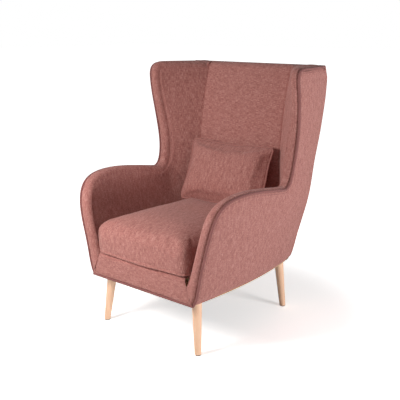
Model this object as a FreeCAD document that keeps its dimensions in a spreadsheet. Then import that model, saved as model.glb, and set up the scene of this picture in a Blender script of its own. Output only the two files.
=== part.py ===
import FreeCAD, Part
import math
import os
import Sketcher

# Wing armchair with a loose seat cushion and a loose lumbar pillow.
#
# The chair faces -Y, +Z is up, and the origin is on the floor at the middle of its box.
# Left and right are as seen by someone who stands in front of the chair: right is +X.
# A "depth" is a distance behind the plane of the front piping, so y = depth - front_reach.
# All lengths are millimetres.

SIZES = {
    # overall
    "overall_height": 1030,
    "wing_half_width": 393,
    "front_reach": 359.5,
    "back_depth": 751,
    "base_height": 207,
    "side_bow_radius": 2000,
    "side_bow_depth": 234,
    "back_bow_rise": 4,
    "rear_corner_radius": 26,
    # side outline
    "arm_height": 602,
    "crook_depth": 458,
    "roll_bulge": 8,
    "arm_thickness": 50,
    "wing_thickness": 38,
    "wing_flare_depth": 484,
    "wing_flare_softness": 10,
    # layers, from the outside in
    "cover_thickness": 2,
    "board_thickness": 12,
    "side_rail_thickness": 40,
    "foam_edge_wrap": 22,
    # inside back
    "inside_back_half_width": 215,
    "inside_back_crown": 9,
    "back_foam_thickness": 44,
    "back_roll_radius": 20,
    "top_band_thickness": 28,
    # seams and piping
    "piping_diameter": 10,
    "seam_gap": 0.3,
    "piping_room": 0.65,
    "piping_end_gap": 1.5,
    "rear_seam_depth_low": 636,
    "rear_seam_depth_top": 716.3,
    "rear_shoulder_drop": 78,
    "rear_sweep_start": 607,
    "rear_sweep_rise": 18,
    # base and deck
    "rail_bottom": 211,
    "deck_height": 308,
    "deck_pad_thickness": 14,
    "deck_cloth_thickness": 1.2,
    "front_rail_depth": 22,
    "front_rail_thickness": 28,
    "rear_rail_depth": 606,
    "rear_rail_thickness": 34,
    "border_top_half_width": 224,
    "border_bottom_half_width": 262,
    "corner_block_length": 96,
    "corner_block_height": 50,
    "dust_cover_thickness": 1.2,
    "seat_strap_width": 60,
    "seat_straps_along": 5,
    "seat_straps_across": 5,
    # back frame
    "post_inner_low": 186,
    "post_inner_top": 270,
    "post_overlap": 16,
    "post_top": 1000,
    "crest_rail_height": 58,
    "lumbar_rail_height": 46,
    "lumbar_rail_bottom": 372,
    "back_rail_thickness": 24,
    "strap_width": 60,
    "strap_thickness": 2.4,
    "back_straps_up": 3,
    # legs
    "leg_top_diameter": 40,
    "leg_foot_diameter": 26,
    "glide_diameter": 22,
    "glide_height": 4,
    "plate_thickness": 2.4,
    "plate_width": 50,
    "bolt_diameter": 8,
    "bolt_in_leg": 30,
    "bolt_in_rail": 24,
    "front_foot_half_width": 248,
    "front_foot_depth": 44,
    "front_leg_top_half_width": 226,
    "front_leg_top_depth": 62,
    "rear_foot_half_width": 222,
    "rear_foot_depth": 638,
    "rear_leg_top_half_width": 207,
    "rear_leg_top_depth": 620,
    # seat cushion
    "cushion_gap": 0.3,
    "cushion_front_depth": -36,
    "cushion_rear_depth": 545,
    "cushion_front_half_width": 244,
    "cushion_rear_half_width": 228,
    "cushion_side_bow": 6,
    "cushion_front_bow": 17,
    "cushion_edge_height": 122,
    "cushion_crown": 36,
    "cushion_top_radius": 34,
    "cushion_bottom_radius": 24,
    "cushion_corner_radius": 46,
    "cushion_cover_thickness": 1.6,
    "zip_length": 380,
    "zip_tape_width": 30,
    "zip_tape_thickness": 1,
    "zip_chain_width": 6,
    "zip_chain_thickness": 2,
    "zip_height": 56,
    "slider_length": 12,
    "slider_width": 9,
    "slider_wall": 1.6,
    # lumbar pillow
    "pillow_half_width": 204,
    "pillow_height": 256,
    "pillow_thickness": 98,
    "pillow_edge_thickness": 5,
    "pillow_rake": 19.7,
    "pillow_corner_depth": 466,
    "pillow_corner_height": 452.6,
    "pillow_side_draw": 7,
    "pillow_end_draw": 8,
    "pillow_corner_radius": 18,
    "pillow_piping_diameter": 9,
    "pillow_cover_thickness": 1.6,
    # construction
    "overrun": 60,
}

# Horizontal sections of the whole upholstered body: height, half width, depth of the rear
# corner and radius of the side's bow, as shares of the overall sizes of the same names.
BODY_SECTION_SHARES = (
    (0.189, 0.677, 0.893, 1.00),
    (0.206, 0.710, 0.896, 1.00),
    (0.240, 0.748, 0.903, 1.00),
    (0.320, 0.794, 0.920, 1.00),
    (0.485, 0.899, 0.941, 1.00),
    (0.641, 0.941, 0.963, 1.02),
    (0.770, 0.981, 0.980, 1.07),
    (0.893, 1.000, 0.996, 1.12),
    (1.015, 0.985, 1.008, 1.16),
)

# Inside back: height share, depth share of back_depth, half-width share of its top half width.
INSIDE_BACK_SHARES = (
    (0.290, 0.739, 1.11),
    (0.450, 0.761, 1.11),
    (0.641, 0.786, 1.00),
    (0.854, 0.829, 1.00),
    (1.015, 0.886, 1.00),
)

# Side outline as cubic curves. Arm: depth share of crook_depth, height share of arm_height.
ARM_CURVE_SHARES = (
    ((0.000, 0.664), (0.000, 0.930), (0.066, 1.000), (0.397, 1.000)),
    ((0.397, 1.000), (0.568, 1.000), (0.742, 0.972), (0.939, 0.952)),
)
# Wing: depth share of crook_depth, share of the rise from arm_height to the top line.
WING_CURVE_SHARES = (
    ((0.939, -0.069), (1.000, -0.076), (1.031, -0.024), (1.048, 0.048)),
    ((1.048, 0.048), (1.103, 0.281), (1.037, 0.590), (1.004, 0.871)),
    ((1.004, 0.871), (0.993, 0.960), (1.031, 1.000), (1.092, 1.000)),
)
# The seam between arm cover and wing cover: shares of crook_depth and of arm_height.
COVER_SEAM_SHARES = (
    (0.93, 0.975),
    (1.03, 0.957),
    (1.096, 0.935),
    (1.148, 0.869),
    (1.205, 0.748),
    (1.26, 0.50),
)
# The back cover's rolled top: shares of the way back and down to the shoulder's foot.
SHOULDER_SHARES = ((0.0, 0.0), (0.40, 0.10), (0.74, 0.30), (0.94, 0.62), (1.0, 1.0))
# The arm's thickness turns into the wing's between these shares of the rise above the arm.
BLEND_LOW, BLEND_HIGH = -0.125, 0.125
# Points along each curve and straight of the side outline, and along the piping's curves.
CURVE_STEPS = 4
UPRIGHT_STEPS = 3
BAND_STEPS = 4
PIPING_STEPS = 3
# Two directions this alike count as one, and an arc that turns less than this is a line.
SAME_DIRECTION = 1e-9
FLAT_TURN = 1e-4
# Sides of a piping cord, and straight pieces along each edge of the loose forms' outlines.
TUBE_SIDES = 6
CUSHION_STEPS = (6, 3, 4, 1, 4, 3)
PILLOW_STEPS = (6, 2) * 4
ROUNDING_SHARES = (0.0, 0.5, 1.0)

# Rolled edges of the seat cushion: how far each level lies inside the outline and how high,
# as shares of the rounding radius below the crown, then of the crown above it.
CROWN_SHARES = ((0.00, 0.00), (0.13, 0.42), (0.34, 0.74), (0.62, 0.95), (0.84, 1.00))
# Pillow: share of its half thickness, and the outline's share of its full size there.
PILLOW_SHARES = ((0.05, 1.00), (0.40, 0.955), (0.70, 0.85), (0.90, 0.67), (1.0, 0.40))

V = FreeCAD.Vector
doc = FreeCAD.newDocument("armchair")
sheet = doc.addObject("Spreadsheet::Sheet", "Sizes")
for row, (alias, value) in enumerate(SIZES.items(), start=1):
    sheet.set(f"A{row}", alias)
    sheet.set(f"B{row}", str(value))
    sheet.setAlias(f"B{row}", alias)
doc.recompute()


class Values:
    """The driving sizes, read back from the sheet as plain numbers."""

    def __getattr__(self, alias):
        value = sheet.get(alias)
        return float(getattr(value, "Value", value))


size = Values()
size.top_line = size.overall_height - size.roll_bulge
size.board_inside = size.cover_thickness + size.board_thickness
size.rail_inside = size.board_inside + size.side_rail_thickness
size.piping_radius = size.piping_diameter / 2
size.edge_gap = size.piping_radius + size.piping_room
PARTS = []


def keep(item, label):
    """Name a finished sub-part and put it on the list to export."""
    item.Label = label
    PARTS.append(item)
    return item


def feature(label, shape):
    """A sub-part whose shape is worked out here from the sheet's sizes."""
    item = doc.addObject("Part::Feature", label)
    item.Shape = shape
    item.Placement = FreeCAD.Placement()
    return keep(item, label)


def bind(item, **expressions):
    """Tie properties of an object to the sheet, with __ for the dots of a path."""
    for path, expression in expressions.items():
        item.setExpression(path.replace("__", "."), expression)
    return item


# Formulas of the upholstered body


def smooth(table, height, column):
    """Value of one column at a height, on a smooth curve through the table's rows."""
    rows = [(row[0] * size.overall_height, row[column]) for row in table]
    height = min(max(height, rows[0][0]), rows[-1][0])
    index = max(i for i in range(len(rows) - 1) if rows[i][0] <= height or i == 0)
    slopes = []
    for i in (index, index + 1):
        before = rows[max(i - 1, 0)]
        after = rows[min(i + 1, len(rows) - 1)]
        slopes.append((after[1] - before[1]) / (after[0] - before[0]))
    (low, start), (high, end) = rows[index], rows[index + 1]
    span = high - low
    u = (height - low) / span
    return (
        (2 * u**3 - 3 * u**2 + 1) * start
        + (u**3 - 2 * u**2 + u) * span * slopes[0]
        + (3 * u**2 - 2 * u**3) * end
        + (u**3 - u**2) * span * slopes[1]
    )


def place_y(depth):
    return depth - size.front_reach


def bow_radius(height):
    return smooth(BODY_SECTION_SHARES, height, 3) * size.side_bow_radius


def outer_x(depth, height):
    """Half width of the outer side at a depth and a height."""
    widest = smooth(BODY_SECTION_SHARES, height, 1) * size.wing_half_width
    radius = bow_radius(height)
    return widest - radius + math.sqrt(radius**2 - (depth - size.side_bow_depth) ** 2)


def surface_x(depth, height):
    """Half width of the modelled side, which is straight between the table's heights."""
    rows = [row[0] * size.overall_height for row in BODY_SECTION_SHARES]
    index = max(i for i in range(len(rows) - 1) if rows[i] <= height or i == 0)
    low, high = rows[index], rows[index + 1]
    share = (height - low) / (high - low)
    return outer_x(depth, low) * (1 - share) + outer_x(depth, high) * share


def straight(table, height, column):
    """Value of one column at a height, on straight lines through the table's rows."""
    rows = [(row[0] * size.overall_height, row[column]) for row in table]
    index = max(i for i in range(len(rows) - 1) if rows[i][0] <= height or i == 0)
    (low, start), (high, end) = rows[index], rows[index + 1]
    return start + (height - low) / (high - low) * (end - start)


def back_depth_at(height):
    """Depth of the inside back's front face at its corner line."""
    return straight(INSIDE_BACK_SHARES, height, 1) * size.back_depth


def back_half_width_at(height):
    return straight(INSIDE_BACK_SHARES, height, 2) * size.inside_back_half_width


def pad_thickness(depth, height):
    """Thickness of arm or wing, from the outer face in; behind the roll the wing flares."""
    rise = (height - size.arm_height) / (size.top_line - size.arm_height)
    blend = min(max((rise - BLEND_LOW) / (BLEND_HIGH - BLEND_LOW), 0), 1)
    front = size.arm_thickness + blend * (size.wing_thickness - size.arm_thickness)
    corner_depth = back_depth_at(height)
    flare = outer_x(corner_depth, height) - back_half_width_at(height) - front
    slope = max(flare, 0) / (corner_depth - size.wing_flare_depth)
    softness = size.wing_flare_softness
    behind = softness * math.log1p(math.exp((depth - size.wing_flare_depth) / softness))
    return front + slope * behind


def inner_x(depth, height):
    return outer_x(depth, height) - pad_thickness(depth, height)


def seam_depth(height):
    """Depth of the seam between side cover and back cover."""
    share = (height - size.base_height) / (size.top_line - size.base_height)
    return size.rear_seam_depth_low * (1 - share) + size.rear_seam_depth_top * share


def curve_poles():
    """Control points of the side outline, as depth and height."""
    rise = size.top_line - size.arm_height
    for curve in ARM_CURVE_SHARES:
        yield [(a * size.crook_depth, b * size.arm_height) for a, b in curve]
    for curve in WING_CURVE_SHARES:
        yield [(a * size.crook_depth, size.arm_height + b * rise) for a, b in curve]


def side_edge(offset, start_height, end_depth, steps=CURVE_STEPS):
    """Points along the side outline, moved outward by an offset: depth, height."""
    first = next(curve_poles())[0]
    points = [(-offset, start_height)]
    for step in range(1, UPRIGHT_STEPS):
        share = step / UPRIGHT_STEPS
        points.append((-offset, start_height + share * (first[1] - start_height)))
    last = (0, 0)
    for poles in curve_poles():
        for step in range(steps):
            t = step / steps
            u = 1 - t
            weights = (u**3, 3 * u * u * t, 3 * u * t * t, t**3)
            rates = (-3 * u * u, 3 * u * u - 6 * u * t, 6 * u * t - 3 * t * t, 3 * t * t)
            depth = sum(w * p[0] for w, p in zip(weights, poles))
            height = sum(w * p[1] for w, p in zip(weights, poles))
            run = sum(w * p[0] for w, p in zip(rates, poles))
            climb = sum(w * p[1] for w, p in zip(rates, poles))
            length = math.hypot(run, climb)
            points.append((depth - offset * climb / length, height + offset * run / length))
        last = poles[-1]
    for step in range(BAND_STEPS + 1):
        share = step / BAND_STEPS
        points.append((last[0] + share * (end_depth - last[0]), last[1] + offset))
    return points


def spline(points):
    curve = Part.BSplineCurve()
    curve.interpolate([V(*point) for point in points])
    return curve.toShape()


def polygon(points):
    return Part.makePolygon([V(*p) for p in points] + [V(*points[0])])


def side_prism(offset, low=None, rear=None):
    """Everything inside the side outline, across the whole width."""
    low = size.base_height if low is None else low
    rear = size.back_depth + size.overrun if rear is None else rear
    reach = size.wing_half_width + size.overrun
    edge = side_edge(offset, low, rear)
    points = [(-reach, place_y(depth), height) for depth, height in edge]
    curve = spline(points)
    corner = (-reach, place_y(rear), low)
    lines = [
        Part.LineSegment(V(*points[-1]), V(*corner)).toShape(),
        Part.LineSegment(V(*corner), V(*points[0])).toShape(),
    ]
    face = Part.Face(Part.Wire([curve] + lines))
    return face.extrude(V(2 * reach, 0, 0))


def depth_prism(outline):
    """A polygon of depths and heights, extruded across the whole width."""
    reach = size.wing_half_width + size.overrun
    face = Part.Face(polygon([(-reach, place_y(d), z) for d, z in outline]))
    return face.extrude(V(2 * reach, 0, 0))


def circle_meeting(first_centre, first_radius, second_centre, second_radius, prefer):
    """The point at two given distances from two centres, on the preferred side."""
    between = second_centre - first_centre
    gap = between.Length
    along = (first_radius**2 - second_radius**2 + gap**2) / (2 * gap)
    away = math.sqrt(first_radius**2 - along**2)
    unit = between / gap
    across = V(-unit.y, unit.x, 0)
    choices = [first_centre + unit * along + across * (away * sign) for sign in (1, -1)]
    return max(choices, key=prefer)


def body_section(height, inset):
    """One closed horizontal section of the body, each layer's inset inside the outer face."""
    bow = bow_radius(height)
    widest = smooth(BODY_SECTION_SHARES, height, 1) * size.wing_half_width
    rear = place_y(smooth(BODY_SECTION_SHARES, height, 2) * size.back_depth)
    half = outer_x(rear + size.front_reach, height)
    rise = size.back_bow_rise
    back_radius = (half**2 + rise**2) / (2 * rise)
    side_centre = V(widest - bow, place_y(size.side_bow_depth), height)
    back_centre = V(0, rear + rise - back_radius, height)
    corner = max(size.rear_corner_radius, inset + size.cover_thickness)
    # The corner's centre lies inside both large circles by its own radius.
    centre = circle_meeting(
        side_centre, bow - corner, back_centre, back_radius - corner, lambda point: point.x + point.y
    )
    toward_side = (centre - side_centre).normalize()
    toward_back = (centre - back_centre).normalize()
    side_end = side_centre + toward_side * (bow - inset)
    back_end = back_centre + toward_back * (back_radius - inset)
    middle = (toward_side + toward_back).normalize()
    corner_middle = centre + middle * (corner - inset)
    front = -size.overrun
    start_y = place_y(front)
    start_x = side_centre.x + math.sqrt((bow - inset) ** 2 - (start_y - side_centre.y) ** 2)
    start = V(start_x, start_y, height)
    half_way = ((start - side_centre).normalize() + toward_side).normalize()
    side_middle = side_centre + half_way * (bow - inset)
    back_middle = V(0, rear + rise - inset, height)

    def flip(point):
        return V(-point.x, point.y, point.z)

    edges = [
        Part.LineSegment(flip(start), start),
        Part.Arc(start, side_middle, side_end),
        Part.Arc(side_end, corner_middle, back_end),
        Part.Arc(back_end, back_middle, flip(back_end)),
        Part.Arc(flip(back_end), flip(corner_middle), flip(side_end)),
        Part.Arc(flip(side_end), flip(side_middle), flip(start)),
    ]
    return Part.Wire([edge.toShape() for edge in edges])


def body(inset):
    """The whole upholstered body at one layer, open to the side outline's cut."""
    heights = [row[0] * size.overall_height for row in BODY_SECTION_SHARES]
    return Part.makeLoft([body_section(height, inset) for height in heights], True, True)


def biarc_wire(points, tangents):
    """A smooth wire of tangent arcs through points with given directions."""
    edges = []
    for start, end, leave, arrive in zip(points, points[1:], tangents, tangents[1:]):
        chord = end - start
        both = leave + arrive
        fall = 2 * (1 - leave.dot(arrive))
        push = chord.dot(both)
        if fall < SAME_DIRECTION:
            reach = chord.Length / 4
        else:
            reach = (math.sqrt(push**2 + fall * chord.dot(chord)) - push) / fall
        knee = start + leave * reach
        knee_after = end - arrive * reach
        middle = (knee + knee_after) / 2
        for a, apex, b in ((start, knee, middle), (middle, knee_after, end)):
            flat = (a + b) / 2
            height = (apex - flat).Length
            half = (b - a).Length / 2
            angle = math.atan2(height, half)
            if angle < FLAT_TURN:
                edges.append(Part.LineSegment(a, b).toShape())
                continue
            share = math.tan(angle / 2) / math.tan(angle)
            edges.append(Part.Arc(a, flat + (apex - flat) * share, b).toShape())
    return Part.Wire(edges)


def tube(wire, radius):
    """A round tube along a wire of lines and arcs."""
    first = wire.Edges[0]
    start = first.valueAt(first.FirstParameter)
    along = first.tangentAt(first.FirstParameter)
    first_side = along.cross(V(0, 1, 0)).normalize()
    second_side = along.cross(first_side)
    corners = []
    for index in range(TUBE_SIDES):
        turn = 2 * math.pi * (index + 0.5) / TUBE_SIDES
        corners.append(start + (first_side * math.cos(turn) + second_side * math.sin(turn)) * radius)
    profile = Part.makePolygon(corners + corners[:1])
    return wire.makePipeShell([profile], True, False)


def box(low, high):
    """An axis-aligned block between two corners of x, depth and height."""
    size_of = [b - a for a, b in zip(low, high)]
    return Part.makeBox(*size_of, V(low[0], place_y(low[1]), low[2]))


def one_solid(shape):
    """The largest solid of a result, for cuts that can leave a sliver."""
    return max(shape.Solids, key=lambda solid: solid.Volume)


def stepped(edges, counts):
    """Corner points of an outline of straight lines along given edges."""
    points = []
    for edge, count in zip(edges, counts):
        points += edge.toShape().discretize(count + 1)[:-1]
    return points


def stacked(rings):
    """A closed form of flat faces through rings that are scaled copies of one outline."""
    faces = []
    for low, high in zip(rings, rings[1:]):
        count = len(low)
        for i in range(count):
            j = (i + 1) % count
            faces.append(Part.Face(polygon([low[i], low[j], high[j], high[i]])))
    faces.append(Part.Face(polygon(rings[0])))
    faces.append(Part.Face(polygon(rings[-1])))
    shell = Part.Shell(faces)
    shell.sewShape()
    solid = Part.Solid(shell)
    if solid.Volume < 0:
        solid.reverse()
    return solid


def mirrored(shape):
    return shape.mirror(V(0, 0, 0), V(1, 0, 0))


def both_sides(label, shape):
    """The right-hand piece and its mirror image, as two sub-parts."""
    feature(label + "_right", shape)
    feature(label + "_left", mirrored(shape))


# Cutting blocks shared by the covers, pads and boards

reach = size.wing_half_width + size.overrun
below = size.base_height - size.overrun
above = size.overall_height + size.overrun
front = -2 * size.overrun
behind = size.back_depth + 2 * size.overrun
right_half = box((0, front, below), (reach, behind, above))


def before_seam(shift=0):
    return depth_prism(
        [
            (front, below),
            (seam_depth(below) + shift, below),
            (seam_depth(above) + shift, above),
            (front, above),
        ]
    )


def after_seam(shift=0):
    return depth_prism(
        [
            (seam_depth(below) + shift, below),
            (behind, below),
            (behind, above),
            (seam_depth(above) + shift, above),
        ]
    )


sweep_slope = size.rear_sweep_rise / (size.back_depth - size.rear_sweep_start)
rear_sweep = depth_prism(
    [
        (size.rear_sweep_start, size.base_height),
        (behind, size.base_height + sweep_slope * (behind - size.rear_sweep_start)),
        (behind, below),
        (size.rear_sweep_start, below),
    ]
)


def shoulder_prism(inset):
    """Everything in front of and below the back cover's rolled top edge."""
    start = (size.rear_seam_depth_top, size.top_line + size.piping_radius - inset)
    rearmost = size.back_depth + size.back_bow_rise + size.seam_gap - inset
    end = (rearmost, size.top_line - size.rear_shoulder_drop)
    shoulder = [
        (start[0] + run * (end[0] - start[0]), start[1] + fall * (end[1] - start[1]))
        for run, fall in SHOULDER_SHARES
    ]
    rest = [(behind, end[1]), (behind, below), (front, below), (front, start[1])]
    return depth_prism(shoulder + rest)


# Layers of the body
outer_body = body(0)
cover_inside = body(size.cover_thickness)
board_inside = body(size.board_inside)
rail_inside = body(size.rail_inside)
panel_prism = side_prism(-size.edge_gap)

# Side panels: outer cover and board
side_skin = outer_body.cut(cover_inside).common(right_half).common(panel_prism)
side_skin = one_solid(side_skin.common(before_seam()).cut(rear_sweep))
both_sides("outside_side_cover", side_skin)

board_prism = side_prism(size.roll_bulge - size.foam_edge_wrap, size.rail_bottom)
side_board = cover_inside.cut(board_inside).common(right_half).common(board_prism)
side_board = one_solid(side_board.common(before_seam(-size.post_overlap)).cut(rear_sweep))
both_sides("side_board", side_board)


# Arm and wing padding

# Heights and depths where the inside faces of arms and wings are measured.
INNER_HEIGHT_SHARES = (0.296, 0.40, 0.55, 0.64, 0.85, 1.06)
INNER_BOW_SHARES = (0.0, 0.5, 1.0, 1.6)


def between_arms(inset):
    """The room between the inside faces of arms and wings, as a block across the middle."""
    sections = []
    for share in INNER_HEIGHT_SHARES:
        z = share * size.overall_height
        depths = [front] + [part * size.side_bow_depth for part in INNER_BOW_SHARES]
        depths += [size.wing_flare_depth, size.back_depth]
        corners = [V(inner_x(d, z) + inset, place_y(d), z) for d in depths]
        corners.append(V(-size.inside_back_half_width, place_y(size.back_depth), z))
        corners.append(V(-size.inside_back_half_width, place_y(front), z))
        sections.append(Part.makePolygon(corners + [corners[0]]))
    return Part.makeLoft(sections, True, True)


def side_pad(inset, outside):
    """Arm and wing padding up to the rear seam."""
    pad = side_prism(size.roll_bulge - inset).common(outside).common(right_half)
    room = between_arms(inset).common(box((-reach, front, size.deck_height), (reach, behind, above)))
    return pad.common(before_seam()).cut(room).cut(rear_sweep)


def inside_back_section(height, inset, rear_depth, half_gap=0):
    """Horizontal section of the back: a crowned front face, flat sides and rear."""
    half = back_half_width_at(height) - half_gap
    depth = back_depth_at(height) + inset
    crown = depth - size.inside_back_crown
    corner = V(half, place_y(depth), height)
    rear = V(half, place_y(rear_depth), height)
    left_corner = V(-corner.x, corner.y, height)
    left_rear = V(-rear.x, rear.y, height)
    front_arc = Part.Arc(left_corner, V(0, place_y(crown), height), corner)
    edges = [front_arc, Part.LineSegment(corner, rear), Part.LineSegment(rear, left_rear)]
    edges.append(Part.LineSegment(left_rear, left_corner))
    return Part.Wire([edge.toShape() for edge in edges])


def inside_back_block(inset, low, top, rear_depth, round_radius=0, half_gap=0):
    """The back's padding as a block, its top front edge rolled over by a radius."""
    table = [row[0] * size.overall_height for row in INSIDE_BACK_SHARES]
    heights = [low] + [z for z in table if low < z < top - round_radius]
    sections = [inside_back_section(z, inset, rear_depth, half_gap) for z in heights]
    if round_radius:
        for share in ROUNDING_SHARES:
            turn = share * math.pi / 2
            z = top - round_radius * (1 - math.sin(turn))
            back = round_radius * (1 - math.cos(turn))
            sections.append(inside_back_section(z, inset + back, rear_depth, half_gap))
    else:
        sections.append(inside_back_section(top, inset, rear_depth, half_gap))
    return Part.makeLoft(sections, True, True)


cushioned = size.cover_thickness
pad_outside = body(size.edge_gap)
back_zone = inside_back_block(0, below, above, behind, 0, -size.seam_gap)
low_zone = box((-reach, size.front_rail_depth, below), (reach, behind, size.deck_height))
border_low = size.base_height + size.piping_diameter + size.seam_gap
piping_zone = box((-reach, front, below), (reach, size.front_rail_depth, border_low))
band_rear = size.rear_seam_depth_top - 2 * size.edge_gap
rear_limit = box((-reach, band_rear, size.top_line - size.top_band_thickness), (reach, behind, above))


def border_prism(grow=0):
    """The front border between the arms: a trapezoid with mitred ends."""
    points = [
        (-size.border_bottom_half_width - grow, border_low),
        (size.border_bottom_half_width + grow, border_low),
        (size.border_top_half_width + grow, size.deck_height),
        (-size.border_top_half_width - grow, size.deck_height),
    ]
    y = place_y(front)
    face = Part.Face(polygon([(x, y, z) for x, z in points]))
    return face.extrude(V(0, size.front_rail_depth - front, 0))


border_cut = border_prism()
trims = [back_zone, low_zone, piping_zone, border_cut, rear_limit]
pad_full = side_pad(0, pad_outside).cut(trims)
pad_core = side_pad(cushioned, body(-size.edge_gap))
side_cover = one_solid(pad_full.cut(pad_core))
seam_points = [(a * size.crook_depth, b * size.arm_height) for a, b in COVER_SEAM_SHARES]
seam_points += [(behind, seam_points[-1][1]), (behind, above), (seam_points[0][0], above)]
wing_zone = depth_prism(seam_points)
both_sides("inside_wing_cover", one_solid(side_cover.common(wing_zone)))
both_sides("inside_arm_cover", one_solid(side_cover.cut(wing_zone)))

# Frame rails, posts and blocks

strap = size.strap_thickness
rail_top = size.deck_height - size.deck_cloth_thickness - size.deck_pad_thickness - 2 * strap
rail_end = size.rear_rail_depth + size.rear_rail_thickness
rail_room = box(
    (0, size.front_rail_depth, size.rail_bottom),
    (reach, size.rear_rail_depth, rail_top + strap),
)
side_rail = one_solid(board_inside.common(rail_room).cut(rail_inside).cut(rear_sweep))


def leg_line(name):
    """Foot point and top point of a right-hand leg."""
    foot_depth = getattr(size, name + "_foot_depth")
    top_depth = getattr(size, name + "_leg_top_depth")
    foot = V(getattr(size, name + "_foot_half_width"), place_y(foot_depth), 0)
    top = V(getattr(size, name + "_leg_top_half_width"), place_y(top_depth), size.rail_bottom)
    return name, foot, top - V(0, 0, size.plate_thickness)


LEGS = [leg_line("front"), leg_line("rear")]


def bolt_shape(foot, top):
    """A hanger bolt on a leg's axis, half in the leg and half in the rail."""
    axis = (top - foot).normalize()
    start = top - axis * size.bolt_in_leg
    length = size.bolt_in_leg + size.bolt_in_rail
    return Part.makeCylinder(size.bolt_diameter / 2, length, start, axis)


right_bolts = [bolt_shape(foot, top) for name, foot, top in LEGS]
both_sides("side_rail", one_solid(side_rail.cut(right_bolts)))
both_rails = side_rail.fuse(mirrored(side_rail))

post_low = size.post_inner_low
post_slope = (size.post_inner_top - post_low) / (size.post_top - size.rail_bottom)
post_side = Part.Face(
    polygon(
        [
            (post_low, place_y(front), size.rail_bottom),
            (reach, place_y(front), size.rail_bottom),
            (reach, place_y(front), size.post_top),
            (size.post_inner_top, place_y(front), size.post_top),
        ]
    )
).extrude(V(0, behind - front, 0))
post = pad_outside.common(post_side).common(after_seam(-size.post_overlap))
post = post.common(shoulder_prism(size.edge_gap)).cut([rear_sweep, side_rail] + right_bolts)
post = one_solid(post)
both_sides("back_post", post)
both_posts = [post, mirrored(post)]
side_boards = [side_board, mirrored(side_board)]

doc.recompute()


def timber(label, low, high, cut_by):
    """A straight rail, bound to the sheet, trimmed where other timber takes its end."""
    block = doc.addObject("Part::Box", label + "_block")
    names = ("Length", "Width", "Height")
    for name, a, b in zip(names, low, high):
        block.setExpression(name, f"{b} - ({a})")
    block.setExpression("Placement.Base.x", low[0])
    block.setExpression("Placement.Base.y", f"{low[1]} - Sizes.front_reach")
    block.setExpression("Placement.Base.z", low[2])
    tool = doc.addObject("Part::Feature", label + "_room")
    tool.Shape = cut_by
    rail = doc.addObject("Part::Common", label)
    rail.Base = block
    rail.Tool = tool
    return keep(rail, label)


both_bolts = right_bolts + [mirrored(bolt) for bolt in right_bolts]
RAIL_TOP = (
    "Sizes.deck_height - Sizes.deck_cloth_thickness - Sizes.deck_pad_thickness"
    " - 2 * Sizes.strap_thickness"
)
timber(
    "front_rail",
    ("-Sizes.wing_half_width", "Sizes.front_rail_depth", "Sizes.rail_bottom"),
    (
        "Sizes.wing_half_width",
        "Sizes.front_rail_depth + Sizes.front_rail_thickness",
        RAIL_TOP,
    ),
    rail_inside,
)
timber(
    "rear_rail",
    ("-Sizes.wing_half_width", "Sizes.rear_rail_depth", "Sizes.rail_bottom"),
    (
        "Sizes.wing_half_width",
        "Sizes.rear_rail_depth + Sizes.rear_rail_thickness",
        RAIL_TOP,
    ),
    board_inside.cut(both_posts + [rear_sweep] + both_bolts),
)


def back_rail(label, low_z, high_z):
    """A rail between the back posts that leans with the inside back."""
    pad = size.back_foam_thickness + strap + 2 * size.seam_gap
    wide = -size.overrun
    slab = inside_back_block(pad, low_z, high_z, behind, 0, wide)
    rear_face = pad + size.back_rail_thickness
    slab = slab.cut(inside_back_block(rear_face, below, above, 2 * behind, 0, 2 * wide))
    return feature(label, one_solid(slab.cut(both_posts + side_boards).common(post_room))).Shape


post_room = box((-size.post_inner_top, front, below), (size.post_inner_top, behind, above))
crest_low = size.post_top - size.crest_rail_height
crest_rail = back_rail("crest_rail", crest_low, size.post_top)
lumbar_top = size.lumbar_rail_bottom + size.lumbar_rail_height
lumbar_rail = back_rail("lumbar_rail", size.lumbar_rail_bottom, lumbar_top)

# Padding of arms and wings: what the covers hold, less the frame inside it
frame_in_foam = [side_board, side_rail, post, crest_rail, lumbar_rail]
foam = side_pad(cushioned, pad_outside).cut(trims + frame_in_foam)
both_sides("side_foam", one_solid(foam))

# Inside back: cover and foam, with a band over the top rail back to the rear piping
back_low = size.deck_height
back_top = size.overall_height
roll = size.back_roll_radius
back_full = inside_back_block(0, back_low, back_top, band_rear, roll)
back_core = inside_back_block(
    cushioned, below, back_top - cushioned, behind, roll - cushioned, -size.overrun
)
back_hollow = inside_back_block(
    size.back_foam_thickness, below, back_top - size.top_band_thickness, 2 * behind, 0, -size.overrun
)
feature("inside_back_cover", one_solid(back_full.cut(back_core)))
back_foam = back_full.common(back_core).cut(back_hollow)
feature("inside_back_foam", one_solid(back_foam))

# Outside back: a stiff board and the cover that rolls over the top to the piping
back_wrap = outer_body.common(shoulder_prism(0))
back_wrap_core = cover_inside.common(shoulder_prism(size.cover_thickness))
board_wrap_core = pad_outside.common(shoulder_prism(size.edge_gap))
wall = after_seam()
low_cut = box((-reach, front, below), (reach, behind, size.base_height))
outside_back = back_wrap.cut(back_wrap_core).common(wall).cut([rear_sweep, low_cut])
feature("outside_back_cover", one_solid(outside_back))
back_board = back_wrap_core.cut(board_wrap_core).common(wall).cut([rear_sweep, low_cut])
feature("back_board", one_solid(back_board))


# Piping

def piping_point(depth, height):
    return V(surface_x(depth, height), place_y(depth), height)


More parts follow.
